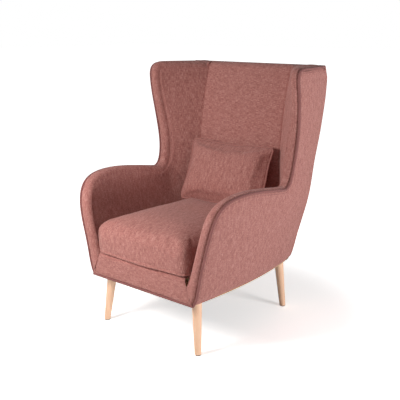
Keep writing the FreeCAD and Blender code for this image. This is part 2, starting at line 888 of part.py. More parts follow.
piping_line = side_edge(0, size.base_height, band_rear, PIPING_STEPS)
beside_line = side_edge(size.seam_gap, size.base_height, band_rear, PIPING_STEPS)
piping_points = [piping_point(depth, height) for depth, height in piping_line]
piping_ways = []
for (depth, height), (beside_depth, beside_height) in zip(piping_line, beside_line):
    ahead = piping_point(depth + beside_height - height, height - beside_depth + depth)
    piping_ways.append((ahead - piping_point(depth, height)).normalize())
side_piping = tube(biarc_wire(piping_points, piping_ways), size.piping_radius)
both_sides("side_piping", side_piping)
rear_z = size.top_line + size.piping_radius / 2
rear_y = place_y(size.rear_seam_depth_top - size.edge_gap)
rear_half = outer_x(size.rear_seam_depth_top, size.top_line) + size.piping_radius / 2
front_z = size.base_height + size.piping_radius
front_y = place_y(-size.roll_bulge + size.piping_radius / 2)
front_half = surface_x(0, front_z) - size.edge_gap - size.piping_end_gap


def straight_piping(label, half, y, z):
    rod = doc.addObject("Part::Cylinder", label)
    rod.setExpression("Radius", "Sizes.piping_diameter / 2")
    rod.Height = 2 * half
    rod.Placement = FreeCAD.Placement(V(-half, y, z), FreeCAD.Rotation(V(0, 1, 0), 90))
    keep(rod, label)


straight_piping("top_piping", rear_half, rear_y, rear_z)
straight_piping("front_piping", front_half, front_y, front_z)

# Front border between the arms
border_face = size.roll_bulge
border_room = box((-reach, -border_face, below), (reach, size.front_rail_depth, above))
border_body = border_prism().common(border_room)
border_core = border_prism(reach).common(
    box((-reach, cushioned - border_face, below), (reach, behind, size.deck_height - cushioned))
)
feature("front_border_cover", one_solid(border_body.cut(border_core)))
feature("front_border_foam", one_solid(border_body.common(border_core).cut(side_boards)))

# Deck and webbing
cloth_low = size.deck_height - size.deck_cloth_thickness
pad_low = cloth_low - size.deck_pad_thickness
deck_start = size.front_rail_depth
deck_room = board_inside.cut(both_posts)
deck_cloth = deck_room.common(box((-reach, deck_start, cloth_low), (reach, rail_end, size.deck_height)))
feature("seat_deck_cover", one_solid(deck_cloth))
deck_pad = deck_room.common(box((-reach, deck_start, pad_low), (reach, rail_end, cloth_low)))
feature("seat_deck_pad", one_solid(deck_pad))

straps = []
strap_half = size.seat_strap_width / 2
along_count = int(size.seat_straps_along)
rear_inner = size.rear_rail_depth + size.rear_rail_thickness / 2
for index in range(along_count):
    place = (index - (along_count - 1) / 2) * 2 * size.post_inner_low / along_count
    straps.append(
        box((place - strap_half, deck_start, rail_top), (place + strap_half, rear_inner, rail_top + strap))
    )
feature("seat_webbing_along", Part.makeCompound(straps))
across_count = int(size.seat_straps_across)
first_across = size.front_rail_depth + size.front_rail_thickness + strap_half
pitch = (size.rear_rail_depth - first_across - strap_half) / (across_count - 1)
straps = []
for index in range(across_count):
    middle = first_across + pitch * index
    band = box((-reach, middle - strap_half, rail_top + strap), (reach, middle + strap_half, pad_low))
    straps.append(one_solid(band.common(board_inside)))
feature("seat_webbing_across", Part.makeCompound(straps))

# Back webbing, stapled on the front of the crest and lumbar rails
strap_face = size.back_foam_thickness + size.seam_gap
strap_layer = inside_back_block(
    strap_face, size.lumbar_rail_bottom, size.post_top, behind, 0, -size.overrun
)
strap_layer = strap_layer.cut(
    inside_back_block(strap_face + strap, below, above, 2 * behind, 0, -2 * size.overrun)
)
up_count = int(size.back_straps_up)
bands = []
for index in range(up_count):
    place = (index - (up_count - 1) / 2) * 2 * size.post_inner_low / up_count
    half = size.strap_width / 2
    band = box((place - half, front, below), (place + half, behind, above))
    bands.append(one_solid(strap_layer.common(band)))
feature("back_webbing", Part.makeCompound(bands))

# Underside
dust_low = size.rail_bottom - size.dust_cover_thickness
plate_half = size.plate_width / 2
plates = []
plate_low = size.rail_bottom - size.plate_thickness
for name, foot, top in LEGS:
    plate = Part.makeBox(
        size.plate_width,
        size.plate_width,
        size.plate_thickness,
        V(top.x - plate_half, top.y - plate_half, plate_low),
    )
    plates.append(one_solid(plate.cut(right_bolts)))
all_plates = plates + [mirrored(plate) for plate in plates]
feature("leg_plates", Part.makeCompound(all_plates))
feature("hanger_bolts", Part.makeCompound(both_bolts))
dust = board_inside.common(
    box((-reach, deck_start, dust_low), (reach, rail_end, size.rail_bottom))
)
feature("dust_cover", one_solid(dust.cut(all_plates + [rear_sweep])))

# Legs and glides

glides = []
for name, foot, top in LEGS:
    axis = top - foot
    length = axis.Length
    share = size.overrun / length
    spread = (size.leg_top_diameter - size.leg_foot_diameter) / 2
    foot_radius = size.leg_foot_diameter / 2 - spread * share
    top_radius = size.leg_top_diameter / 2 + spread * share
    start = foot - axis * share
    for side, sign in (("right", 1), ("left", -1)):
        label = f"leg_{name}_{side}"
        cone = doc.addObject("Part::Cone", label + "_cone")
        cone.Radius1 = foot_radius
        cone.Radius2 = top_radius
        cone.Height = length * (1 + 2 * share)
        lean = V(axis.x * sign, axis.y, axis.z)
        cone.Placement = FreeCAD.Placement(
            V(start.x * sign, start.y, start.z), FreeCAD.Rotation(V(0, 0, 1), lean)
        )
        room = doc.addObject("Part::Feature", label + "_room")
        slab = Part.makeBox(
            2 * reach, 2 * reach, plate_low - size.glide_height, V(-reach, -reach, size.glide_height)
        )
        room.Shape = slab.cut(both_bolts)
        leg = doc.addObject("Part::Common", label)
        leg.Base = cone
        leg.Tool = room
        keep(leg, label)
        at_floor = V(foot.x * sign, foot.y, 0)
        glides.append(Part.makeCylinder(size.glide_diameter / 2, size.glide_height, at_floor))
feature("glides", Part.makeCompound(glides))


# Corner blocks

def corner_block(label, front_corner, sign):
    """A triangular block glued into a corner of the rails."""
    body_item = doc.addObject("PartDesign::Body", label + "_body")
    sketch = body_item.newObject("Sketcher::SketchObject", label + "_outline")
    plane = [f for f in body_item.Origin.OriginFeatures if f.Role == "XY_Plane"][0]
    sketch.AttachmentSupport = [(plane, "")]
    sketch.MapMode = "FlatFace"
    length = size.corner_block_length
    if front_corner:
        depth, turn = size.front_rail_depth + size.front_rail_thickness, 1
    else:
        depth, turn = size.rear_rail_depth, -1
    y = place_y(depth)
    x = sign * (rail_face_x(depth + turn * length) - length)
    wide = sign * reach
    corners = [V(x, y, 0), V(wide, y, 0), V(wide, y + turn * length, 0)]
    inner = V(sign * (abs(x) + length), y + turn * length, 0)
    corners.append(inner)
    for a, b in zip(corners, corners[1:] + corners[:1]):
        sketch.addGeometry(Part.LineSegment(a, b), False)
    count = len(corners)
    for i in range(count):
        sketch.addConstraint(Sketcher.Constraint("Coincident", i, 2, (i + 1) % count, 1))
    sketch.Placement.Base = V(0, 0, 0)
    pad = body_item.newObject("PartDesign::Pad", label + "_pad")
    pad.Profile = sketch
    pad.setExpression("Length", "Sizes.corner_block_height")
    body_item.Placement = FreeCAD.Placement(V(0, 0, size.rail_bottom), FreeCAD.Rotation())
    room = doc.addObject("Part::Feature", label + "_room")
    room.Shape = rail_inside.cut(both_posts + [rear_sweep] + both_bolts)
    block = doc.addObject("Part::Common", label)
    block.Base = body_item
    block.Tool = room
    keep(block, label)


def rail_face_x(depth):
    return outer_x(depth, size.rail_bottom) - size.rail_inside


for side, sign in (("right", 1), ("left", -1)):
    corner_block(f"corner_block_front_{side}", True, sign)
    corner_block(f"corner_block_rear_{side}", False, sign)


# Seat cushion

cushion_low = size.deck_height + size.cushion_gap
cushion_edge = cushion_low + size.cushion_edge_height


def cushion_outline():
    """Corner points of the cushion in plan: bowed front, round corners, bowed sides."""
    y_front = place_y(size.cushion_front_depth)
    y_side_front = y_front + size.cushion_front_bow + size.cushion_corner_radius
    y_rear = place_y(size.cushion_rear_depth)
    front_half = size.cushion_front_half_width
    rear_half = size.cushion_rear_half_width
    front_edge_y = y_front + size.cushion_front_bow / 2
    middle_y = (y_side_front + y_rear) / 2
    middle_x = (front_half + rear_half) / 2 + size.cushion_side_bow
    knee = V(front_half, front_edge_y, 0)
    start = V(front_half - size.cushion_corner_radius, front_edge_y, 0)
    end = V(front_half, y_side_front, 0)
    bend = (start + end) / 2 + (knee - (start + end) / 2) * (math.sqrt(2) - 1)
    rear = V(rear_half, y_rear, 0)
    side = V(middle_x, middle_y, 0)

    def flip(v):
        return V(-v.x, v.y, v.z)

    edges = [
        Part.Arc(flip(start), V(0, y_front, 0), start),
        Part.Arc(start, bend, end),
        Part.Arc(end, side, rear),
        Part.LineSegment(rear, flip(rear)),
        Part.Arc(flip(rear), flip(side), flip(end)),
        Part.Arc(flip(end), flip(bend), flip(start)),
    ]
    return stepped(edges, CUSHION_STEPS)


def cushion_solid(shrink):
    """The box cushion with rolled edges and a crown, shrunk all round by a thickness."""
    half = size.cushion_rear_half_width
    bottom, top = size.cushion_bottom_radius, size.cushion_top_radius
    levels = []
    for share in ROUNDING_SHARES:
        turn = share * math.pi / 2
        levels.append((cushion_low + bottom * (1 - math.cos(turn)), bottom * (1 - math.sin(turn))))
    for share in ROUNDING_SHARES[:-1]:
        turn = share * math.pi / 2
        levels.append((cushion_edge - top * (1 - math.sin(turn)), top * (1 - math.cos(turn))))
    for inward, upward in CROWN_SHARES:
        levels.append((cushion_edge + upward * size.cushion_crown, top + inward * (half - top)))
    low, high = levels[0][0], levels[-1][0]
    squeeze = (high - low - 2 * shrink) / (high - low)
    middle_y = place_y((size.cushion_front_depth + size.cushion_rear_depth) / 2)
    rings = []
    for z, inset in levels:
        scale = 1 - (inset + shrink) / half
        height = low + shrink + (z - low) * squeeze
        rings.append([V(p.x * scale, middle_y + (p.y - middle_y) * scale, height) for p in outline])
    return stacked(rings)


outline = cushion_outline()
cushion_outer = cushion_solid(0)
cushion_core = cushion_solid(size.cushion_cover_thickness)
feature("seat_cushion_cover", cushion_outer.cut(cushion_core))
feature("seat_cushion_foam", cushion_core)

# Zip on the rear band of the cushion, with its slider
zip_y = place_y(size.cushion_rear_depth)
zip_z = cushion_low + size.zip_height
tape = Part.makeBox(
    size.zip_length,
    size.zip_tape_thickness,
    size.zip_tape_width,
    V(-size.zip_length / 2, zip_y, zip_z - size.zip_tape_width / 2),
)
chain = Part.makeBox(
    size.zip_length,
    size.zip_chain_thickness,
    size.zip_chain_width,
    V(-size.zip_length / 2, zip_y + size.zip_tape_thickness, zip_z - size.zip_chain_width / 2),
)
feature("seat_zip", tape.fuse(chain).removeSplitter())
gap = size.seam_gap
slider_x = size.zip_length / 2 - size.slider_length - gap
slider_low = zip_y + size.zip_tape_thickness + gap
slider_deep = size.zip_chain_thickness + size.slider_wall
slider = Part.makeBox(
    size.slider_length,
    slider_deep,
    size.slider_width + 2 * gap,
    V(slider_x, slider_low, zip_z - size.slider_width / 2 - gap),
)
groove = Part.makeBox(
    size.slider_length + 2 * gap,
    size.zip_chain_thickness,
    size.zip_chain_width + 2 * gap,
    V(slider_x - gap, slider_low, zip_z - size.zip_chain_width / 2 - gap),
)
feature("seat_zip_slider", slider.cut(groove))

# Lumbar pillow

rake = math.radians(size.pillow_rake)
up_axis = V(0, math.sin(rake), math.cos(rake))
out_axis = V(0, math.cos(rake), -math.sin(rake))
pillow_foot = V(0, place_y(size.pillow_corner_depth), size.pillow_corner_height)


def pillow_edges(inset):
    """The pillow's outline in its own plane, sides drawn in between round corners."""
    half = size.pillow_half_width
    rise = size.pillow_height / 2
    side_radius = (rise**2 + size.pillow_side_draw**2) / (2 * size.pillow_side_draw)
    end_radius = (half**2 + size.pillow_end_draw**2) / (2 * size.pillow_end_draw)
    side_centre = V(half - size.pillow_side_draw + side_radius, 0, 0)
    end_centre = V(0, rise - size.pillow_end_draw + end_radius, 0)
    corner = max(size.pillow_corner_radius - inset, size.pillow_edge_thickness)
    side_far = side_radius + inset
    end_far = end_radius + inset
    centre = circle_meeting(
        side_centre, side_far + corner, end_centre, end_far + corner, lambda p: -p.Length
    )
    side_touch = side_centre + (centre - side_centre).normalize() * side_far
    end_touch = end_centre + (centre - end_centre).normalize() * end_far
    outward = ((side_touch - centre).normalize() + (end_touch - centre).normalize()).normalize()
    corner_mid = centre + outward * corner
    side_mid = V(side_centre.x - side_far, 0, 0)
    end_mid = V(0, end_centre.y - end_far, 0)

    def at(point, flip_x=1, flip_y=1):
        return V(point.x * flip_x, point.y * flip_y, 0)

    return [
        Part.Arc(at(side_touch, 1, -1), at(side_mid), at(side_touch)),
        Part.Arc(at(side_touch), at(corner_mid), at(end_touch)),
        Part.Arc(at(end_touch), at(end_mid), at(end_touch, -1)),
        Part.Arc(at(end_touch, -1), at(corner_mid, -1), at(side_touch, -1)),
        Part.Arc(at(side_touch, -1), at(side_mid, -1), at(side_touch, -1, -1)),
        Part.Arc(at(side_touch, -1, -1), at(corner_mid, -1, -1), at(end_touch, -1, -1)),
        Part.Arc(at(end_touch, -1, -1), at(end_mid, 1, -1), at(end_touch, 1, -1)),
        Part.Arc(at(end_touch, 1, -1), at(corner_mid, 1, -1), at(side_touch, 1, -1)),
    ]


def in_pillow(point, scale=1, out=0):
    """A point of the pillow's own plane, scaled and moved off it, in its place in the chair."""
    along = up_axis * (point.y * scale + size.pillow_height / 2)
    return pillow_foot + V(point.x * scale, 0, 0) + along + out_axis * out


def pillow_solid(shrink):
    """The crowned pillow, both faces alike, shrunk all round by a thickness."""
    half = size.pillow_thickness / 2 - shrink
    thinner = shrink / (size.pillow_height / 2)
    levels = [(-out * half, scale - thinner) for out, scale in reversed(PILLOW_SHARES)]
    levels += [(out * half, scale - thinner) for out, scale in PILLOW_SHARES]
    points = stepped(pillow_edges(0), PILLOW_STEPS)
    return stacked([[in_pillow(point, scale, out) for point in points] for out, scale in levels])


pillow_outer = pillow_solid(0)
pillow_core = pillow_solid(size.pillow_cover_thickness)
feature("lumbar_pillow_cover", pillow_outer.cut(pillow_core))
feature("lumbar_pillow_fill", pillow_core)
pillow_radius = size.pillow_piping_diameter / 2
welt_edges = pillow_edges(-pillow_radius - size.seam_gap)
welt_arcs = []
for edge in welt_edges:
    arc = edge.toShape()
    middle = (arc.FirstParameter + arc.LastParameter) / 2
    ends = [arc.valueAt(t) for t in (arc.FirstParameter, middle, arc.LastParameter)]
    welt_arcs.append(Part.Arc(*[in_pillow(point) for point in ends]).toShape())
pillow_welt = tube(Part.Wire(welt_arcs), pillow_radius)
feature("lumbar_pillow_piping", pillow_welt)

doc.recompute()
for item in doc.Objects:
    if "Invalid" in item.State or "Error" in item.State:
        raise RuntimeError(f"{item.Label} did not recompute: {item.State}")
for item in PARTS:
    if item.Shape.isNull() or not item.Shape.isValid():
        raise RuntimeError(f"{item.Label} has no valid shape")
os.makedirs("parts", exist_ok=True)
for item in PARTS:
    item.Shape.exportStep(f"parts/{item.Label}.step")
print(len(PARTS), "sub-parts written")
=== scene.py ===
# %% [markdown]
# # Dressing a wing armchair
#
# The chair is a wing armchair in slubbed rose fabric. Its two side shells sweep from the arm
# up into the wing, a piping of the same cloth, darkened in colour as painted shade, runs round
# their edge, and a loose box cushion and a loose lumbar pillow lie in it. The imported model gives
# every solid in its true place. Here each soft solid gets a detailed piece of cloth in the same
# place, and each hard one gets its finish.

# %% Load the imported model
import math

import bmesh
import bpy
import numpy as np
from mathutils import Matrix, Vector, noise


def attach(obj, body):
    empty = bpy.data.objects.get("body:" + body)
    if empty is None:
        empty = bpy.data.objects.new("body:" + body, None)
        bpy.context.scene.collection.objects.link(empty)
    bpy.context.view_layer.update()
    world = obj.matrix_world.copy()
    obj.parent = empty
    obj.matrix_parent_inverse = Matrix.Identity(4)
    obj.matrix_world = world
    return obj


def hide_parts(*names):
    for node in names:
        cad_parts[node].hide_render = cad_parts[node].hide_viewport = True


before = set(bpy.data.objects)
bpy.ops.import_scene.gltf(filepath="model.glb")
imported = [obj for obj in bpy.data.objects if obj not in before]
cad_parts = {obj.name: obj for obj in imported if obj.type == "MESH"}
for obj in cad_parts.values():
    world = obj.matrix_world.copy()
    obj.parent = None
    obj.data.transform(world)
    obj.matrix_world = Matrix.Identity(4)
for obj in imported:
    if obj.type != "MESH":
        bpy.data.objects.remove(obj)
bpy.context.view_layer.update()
scene = bpy.context.scene
scene.view_settings.view_transform = "Standard"

# %% [markdown]
# ## The shape of the upholstered shell
#
# Seen from above, the shell's side is a long shallow arc, and it widens with height. Seen from
# the side, its edge runs up the arm's front, over the arm, round the crook and up the wing. A
# few tables of shares hold both, so that every cover, roll, seam and line of piping is worked
# out from the same surface and they all meet. Modelling each piece by eye would be quicker, but
# then every change of shape would open gaps between them. Lengths are millimetres here and
# become metres only when a mesh is made. A depth is measured from the front piping.

# %% Shell tables
HEIGHT = 1030.0
HALF_WIDTH = 393.0  # of the shells where they are widest
REACH = 359.5  # from the front piping to the chair's middle
BACK = 751.0  # from the front piping to the rear face
BASE = 207.0  # underside at the front
BULGE = 8.0  # how far a roll stands out of the piping line
ARM_TOP, CROOK = 602.0, 458.0  # the piping line's height over the arm, and its depth at the crook
DECK = 308.0
TOP_LINE = HEIGHT - BULGE
ARM_PAD, WING_PAD = 50.0, 38.0  # thickness of the arm, and of the wing at its front
FLARE_DEPTH, FLARE_BLEND = 484.0, 10.0  # where the wing starts to thicken, and how softly
BOW_RADIUS, BOW_DEPTH = 2000.0, 234.0  # the arc seen from above, and where it is widest
BACK_HALF = 215.0  # half width of the inside back between the wings
SEAM_FOOT, SEAM_LEAN = 636.0, 80.3  # the rear seam's depth at its foot, and its lean to the top
SWEEP_START, SWEEP_SLOPE = 607.0, 0.125  # where the lower edge turns up behind, and how steeply
SHELL = (  # height, half width, rear depth, bow of the side
    (0.189, 0.677, 0.893, 1.00),
    (0.206, 0.710, 0.896, 1.00),
    (0.240, 0.748, 0.903, 1.00),
    (0.320, 0.794, 0.920, 1.00),
    (0.485, 0.899, 0.941, 1.00),
    (0.641, 0.941, 0.963, 1.02),
    (0.770, 0.981, 0.980, 1.07),
    (0.893, 1.000, 0.996, 1.12),
    (1.015, 0.985, 1.008, 1.16),
)
INSIDE_BACK = (  # height, depth, half width
    (0.290, 0.739, 1.11),
    (0.437, 0.759, 1.11),
    (0.563, 0.776, 1.04),
    (0.641, 0.786, 1.00),
    (0.738, 0.801, 1.00),
    (0.854, 0.829, 1.00),
    (0.932, 0.855, 1.00),
    (1.015, 0.886, 1.00),
)
ARM_CURVES = (
    ((0.000, 0.664), (0.000, 0.930), (0.066, 1.000), (0.397, 1.000)),
    ((0.397, 1.000), (0.568, 1.000), (0.742, 0.972), (0.939, 0.952)),
)
WING_CURVES = (
    ((0.939, -0.069), (1.000, -0.076), (1.031, -0.024), (1.048, 0.048)),
    ((1.048, 0.048), (1.103, 0.281), (1.037, 0.590), (1.004, 0.871)),
    ((1.004, 0.871), (0.993, 0.960), (1.031, 1.000), (1.092, 1.000)),
)
print("shell tables:", len(SHELL), "heights")


# %% Shell formulas
def clamp(value):
    """A value held between 0 and 1."""
    return min(max(value, 0), 1)


def along(table, height, column):
    """One column of a table at a height, on a smooth curve through its rows."""
    rows = [(row[0] * HEIGHT, row[column]) for row in table]
    height = min(max(height, rows[0][0]), rows[-1][0])
    i = max(k for k in range(len(rows) - 1) if rows[k][0] <= height or k == 0)
    slopes = []
    for k in (i, i + 1):
        low, high = rows[max(k - 1, 0)], rows[min(k + 1, len(rows) - 1)]
        slopes.append((high[1] - low[1]) / (high[0] - low[0]))
    (z0, start), (z1, end) = rows[i], rows[i + 1]
    span = z1 - z0
    u = (height - z0) / span
    ease = 3 * u * u - 2 * u**3
    lean = (u**3 - 2 * u * u + u) * slopes[0] + (u**3 - u * u) * slopes[1]
    return start + ease * (end - start) + lean * span


print("the shell is", round(2 * HALF_WIDTH * along(SHELL, DECK, 1)), "mm wide at the deck")


# %% Half widths and depths
def outer_x(depth, height):
    """Half width of the shell's outside."""
    bow = along(SHELL, height, 3) * BOW_RADIUS
    return along(SHELL, height, 1) * HALF_WIDTH - bow + math.sqrt(bow**2 - (depth - BOW_DEPTH) ** 2)


def back_face(height):
    """Depth of the inside back's face."""
    return along(INSIDE_BACK, height, 1) * BACK


def back_half(height):
    return along(INSIDE_BACK, height, 2) * BACK_HALF


def rear_seam(height):
    """Depth of the seam between side panel and outside back."""
    return SEAM_FOOT + (height - BASE) / (TOP_LINE - BASE) * SEAM_LEAN


def underside(depth):
    """Height of the shell's lower edge, which sweeps up behind the rear legs."""
    return BASE + max(depth - SWEEP_START, 0) * SWEEP_SLOPE


print("the inside back leans", round(back_face(TOP_LINE) - back_face(DECK)), "mm from deck to top")


# %% Thickness of arm and wing
def pad_thickness(depth, height):
    """How thick the arm or wing is. Behind its roll the wing flares in towards the back."""
    rise = (height - ARM_TOP) / (TOP_LINE - ARM_TOP)
    front = ARM_PAD + clamp(4 * rise + 0.5) * (WING_PAD - ARM_PAD)
    corner = back_face(height)
    flare = outer_x(corner, height) - back_half(height) - front
    behind = FLARE_BLEND * math.log1p(math.exp((depth - FLARE_DEPTH) / FLARE_BLEND))
    return front + max(flare, 0) / (corner - FLARE_DEPTH) * behind


def inner_x(depth, height):
    return outer_x(depth, height) - pad_thickness(depth, height)


for name, half_width in (("outside", outer_x), ("inside", inner_x)):
    print("between the arms,", name + ":", round(2 * half_width(BOW_DEPTH, ARM_TOP)), "mm")

# %% [markdown]
# ## The line of the piping
#
# Seen from the side, the piping runs straight up the arm's front, then along five cubic curves
# over the arm, round the crook and up the wing, and straight back along the top. Everything at
# the edge is placed from this line: each of its points also knows which way is outward.

# %% Curve helpers
STRAIGHT = 24  # steps of each straight end
OUTLINE_STEP = 6.0
CURVE_STEPS = 12  # at least, in each curve


def bezier_weights(t):
    u = 1 - t
    return u**3, 3 * u * u * t, 3 * u * t * t, t**3


def blend_poles(weights, poles):
    """Two coordinates of a cubic curve, or of its direction, from its four poles."""
    return [sum(w * p[i] for w, p in zip(weights, poles)) for i in (0, 1)]


print("curve helpers ready")


# %% The side outline
def side_outline():
    """Points of the piping line with their outward directions: depth, height, and the two."""
    rise = TOP_LINE - ARM_TOP
    curves = [[(a * CROOK, b * ARM_TOP) for a, b in curve] for curve in ARM_CURVES]
    curves += [[(a * CROOK, ARM_TOP + b * rise) for a, b in curve] for curve in WING_CURVES]
    foot = BASE + 1
    climb = curves[0][0][1] - foot
    points = [(0.0, foot + climb * k / STRAIGHT, -1.0, 0.0) for k in range(STRAIGHT)]
    for poles in curves:
        count = max(int(math.dist(poles[0], poles[3]) / OUTLINE_STEP), CURVE_STEPS)
        for k in range(count):
            t = k / count
            u = 1 - t
            # the curve's direction, for which only the ratio of the two counts
            rates = (-3 * u * u, 3 * u * u - 6 * u * t, 6 * u * t - 3 * t * t, 3 * t * t)
            depth, height = blend_poles(bezier_weights(t), poles)
            run, climb = blend_poles(rates, poles)
            size = math.hypot(run, climb)
            points.append((depth, height, -climb / size, run / size))
    last = curves[-1][-1]
    run = rear_seam(TOP_LINE) - 6 - last[0]
    points += [(last[0] + run * k / STRAIGHT, last[1], 0.0, 1.0) for k in range(STRAIGHT + 1)]
    return points


EDGE = side_outline()
EDGE_RUN = [0.0]
for before, after in zip(EDGE, EDGE[1:]):
    EDGE_RUN.append(EDGE_RUN[-1] + math.dist(before[:2], after[:2]))
print("side outline:", len(EDGE), "points,", round(EDGE_RUN[-1]), "mm of piping a side")

# %% [markdown]
# ## Helpers that turn points into cloth
#
# Every panel is a grid: rows of points that run across the cloth. A grid keeps the quads in
# line with the seams, so a pucker or a stitched groove can be put just where it belongs.
# The weave is laid on afterwards, in metres, by the way that each face looks, so the threads
# have the same size on every piece.

# %% Placing and showing
def place(x, depth, height):
    """A point in metres and in the frame's axes, from millimetres."""
    return Vector((x / 1000, (depth - REACH) / 1000, height / 1000))


def show(name, data):
    """Put a mesh, curve, lamp or camera into the scene."""
    item = bpy.data.objects.new(name, data)
    scene.collection.objects.link(item)
    return item


def smooth(mesh):
    mesh.polygons.foreach_set("use_smooth", [True] * len(mesh.polygons))


def make_object(name, points, faces):
    mesh = bpy.data.meshes.new(name)
    mesh.from_pydata([tuple(p) for p in points], [], faces)
    smooth(mesh)
    mesh.update()
    return show(name, mesh)


print("placing helpers ready")


# %% Sheets
def grid(name, rows):
    """A sheet of quads through rows of equal length."""
    width = len(rows[0])
    points = [p for row in rows for p in row]
    faces = []
    for i in range(len(rows) - 1):
        for j in range(width - 1):
            a, b = i * width + j, (i + 1) * width + j
            faces.append((a, b, b + 1, a + 1))
    return make_object(name, points, faces)


def face_out(item, toward):
    """Turn all faces over if, on the whole, they look away from a point that should see them."""
    mesh = item.data
    toward = Vector(toward)
    side = sum((toward - f.center).dot(f.normal) * f.area for f in mesh.polygons)
    if side < 0:
        mesh.flip_normals()


print("sheet helpers ready")


# %% Joining and mirroring
WELD = 0.00005  # metres: points closer than this are one


def join(name, parts):
    """Several meshes as one object, with the points they share merged."""
    data = bmesh.new()
    for part in parts:
        data.from_mesh(part.data)
        mesh = part.data
        bpy.data.objects.remove(part)
        bpy.data.meshes.remove(mesh)
    bmesh.ops.remove_doubles(data, verts=data.verts, dist=WELD)
    mesh = bpy.data.meshes.new(name)
    data.to_mesh(mesh)
    data.free()
    smooth(mesh)
    return show(name, mesh)


def mirror(item, name):
    """The left-hand copy of a right-hand piece."""
    mesh = item.data.copy()
    mesh.transform(Matrix.Scale(-1, 4, (1, 0, 0)))
    mesh.flip_normals()
    mesh.name = name
    return show(name, mesh)


print("joining helpers ready")


# %% Weave and unevenness
def lay_weave(item, turned=False):
    """Texture coordinates in metres, by the way each face looks. Turned swaps warp and weft."""
    mesh = item.data
    layer = mesh.uv_layers.new(name="weave")
    for face in mesh.polygons:
        n = [abs(v) for v in face.normal]
        if n[0] >= n[1] and n[0] >= n[2]:
            pair = (1, 2)
        elif n[1] >= n[2]:
            pair = (0, 2)
        else:
            pair = (0, 1)
        if turned:
            pair = pair[::-1]
        for loop in face.loop_indices:
            point = mesh.vertices[mesh.loops[loop].vertex_index].co
            layer.data[loop].uv = (point[pair[0]], point[pair[1]])


NOISE_START = Vector((3.1, 7.7, 1.3))


def soften(item, amount, scale):
    """Low, wide unevenness of stuffed cloth, along its own normals."""
    mesh = item.data
    normals = [vertex.normal.copy() for vertex in mesh.vertices]
    for vertex, normal in zip(mesh.vertices, normals):
        swing = noise.noise(vertex.co * scale + NOISE_START)
        vertex.co += normal * swing * amount
    mesh.update()


print("cloth helpers ready")

# %% [markdown]
# ## The fabric
#
# The cover is a plain weave with slubs: short thick places in the yarn that show as soft
# streaks, some lighter and some darker than the rest. Two stretched noises stand for the slubs
# of warp and weft, a fine pair of waves stands for the threads, and their sum drives a little
# bump. The base colour is a dusty rose. The piping is the same rose cloth, given a deeper tone
# as painted shade.


# %% Node helpers
def node(tree, kind, **values):
    item = tree.nodes.new("ShaderNode" + kind)
    for key, value in values.items():
        if key.startswith("in_"):
            item.inputs[key[3:].replace("_", " ")].default_value = value
        else:
            setattr(item, key, value)
    return item


def math_node(tree, operation, *values):
    """One calculation on up to three values, each a number or another node's socket."""
    item = node(tree, "Math", operation=operation)
    for slot, value in enumerate(values):
        if isinstance(value, (int, float)):
            item.inputs[slot].default_value = value
        else:
            tree.links.new(value, item.inputs[slot])
    return item.outputs[0]


def stretched_noise(tree, source, scale, detail=2.0, rough=0.5):
    """A noise whose grain is scaled apart along the two ways of the cloth."""
    mapping = node(tree, "Mapping", vector_type="POINT")
    mapping.inputs["Scale"].default_value = scale
    tree.links.new(source, mapping.inputs["Vector"])
    texture = node(tree, "TexNoise", in_Scale=1.0, in_Detail=detail, in_Roughness=rough)
    tree.links.new(mapping.outputs[0], texture.inputs["Vector"])
    return texture.outputs["Fac"]


def ramp(tree, source, stops):
    item = node(tree, "ValToRGB")
    item.color_ramp.elements[0].position = stops[0][0]
    item.color_ramp.elements[0].color = (*stops[0][1], 1)
    item.color_ramp.elements[1].position = stops[-1][0]
    item.color_ramp.elements[1].color = (*stops[-1][1], 1)
    for position, colour in stops[1:-1]:
        item.color_ramp.elements.new(position).color = (*colour, 1)
    tree.links.new(source, item.inputs[0])
    return item.outputs[0]


def shader(name, roughness, sheen=0.0):
    material = bpy.data.materials.new(name)
    material.use_nodes = True
    surface = material.node_tree.nodes["Principled BSDF"]
    surface.inputs["Roughness"].default_value = roughness
    surface.inputs["Sheen Weight"].default_value = sheen
    surface.inputs["Sheen Roughness"].default_value = 0.45
    return material, material.node_tree, surface


def bump(tree, surface, height, depth, strength=1.0):
    item = node(tree, "Bump", in_Strength=strength, in_Distance=depth)
    tree.links.new(height, item.inputs["Height"])
    tree.links.new(item.outputs[0], surface.inputs["Normal"])


print("node helpers ready")


# %% Colour helpers
def srgb(red, green, blue):
    """A colour as seen on screen, 0 to 255, as the plain light values a shader takes."""
    return tuple(
        (v / 255 / 12.92) if v <= 10 else ((v / 255 + 0.055) / 1.055) ** 2.4 for v in (red, green, blue)
    )


def mix_colour(first, second, share):
    return tuple(a + (b - a) * share for a, b in zip(first, second))


print("colour helpers ready")


# %% Slub weave
WARP_SLUBS, WEFT_SLUBS, PATCHES = (620, 62, 1), (64, 580, 1), (90, 22, 1)  # to the metre, each way
WEFT_WEIGHT, PATCH_WEIGHT, THREAD_WEIGHT = 0.7, 0.3, 0.12  # what each adds beside the warp
RELIEF_GAIN, RELIEF_STRENGTH = 4, 0.75  # the slubs use about a quarter of the noises' range


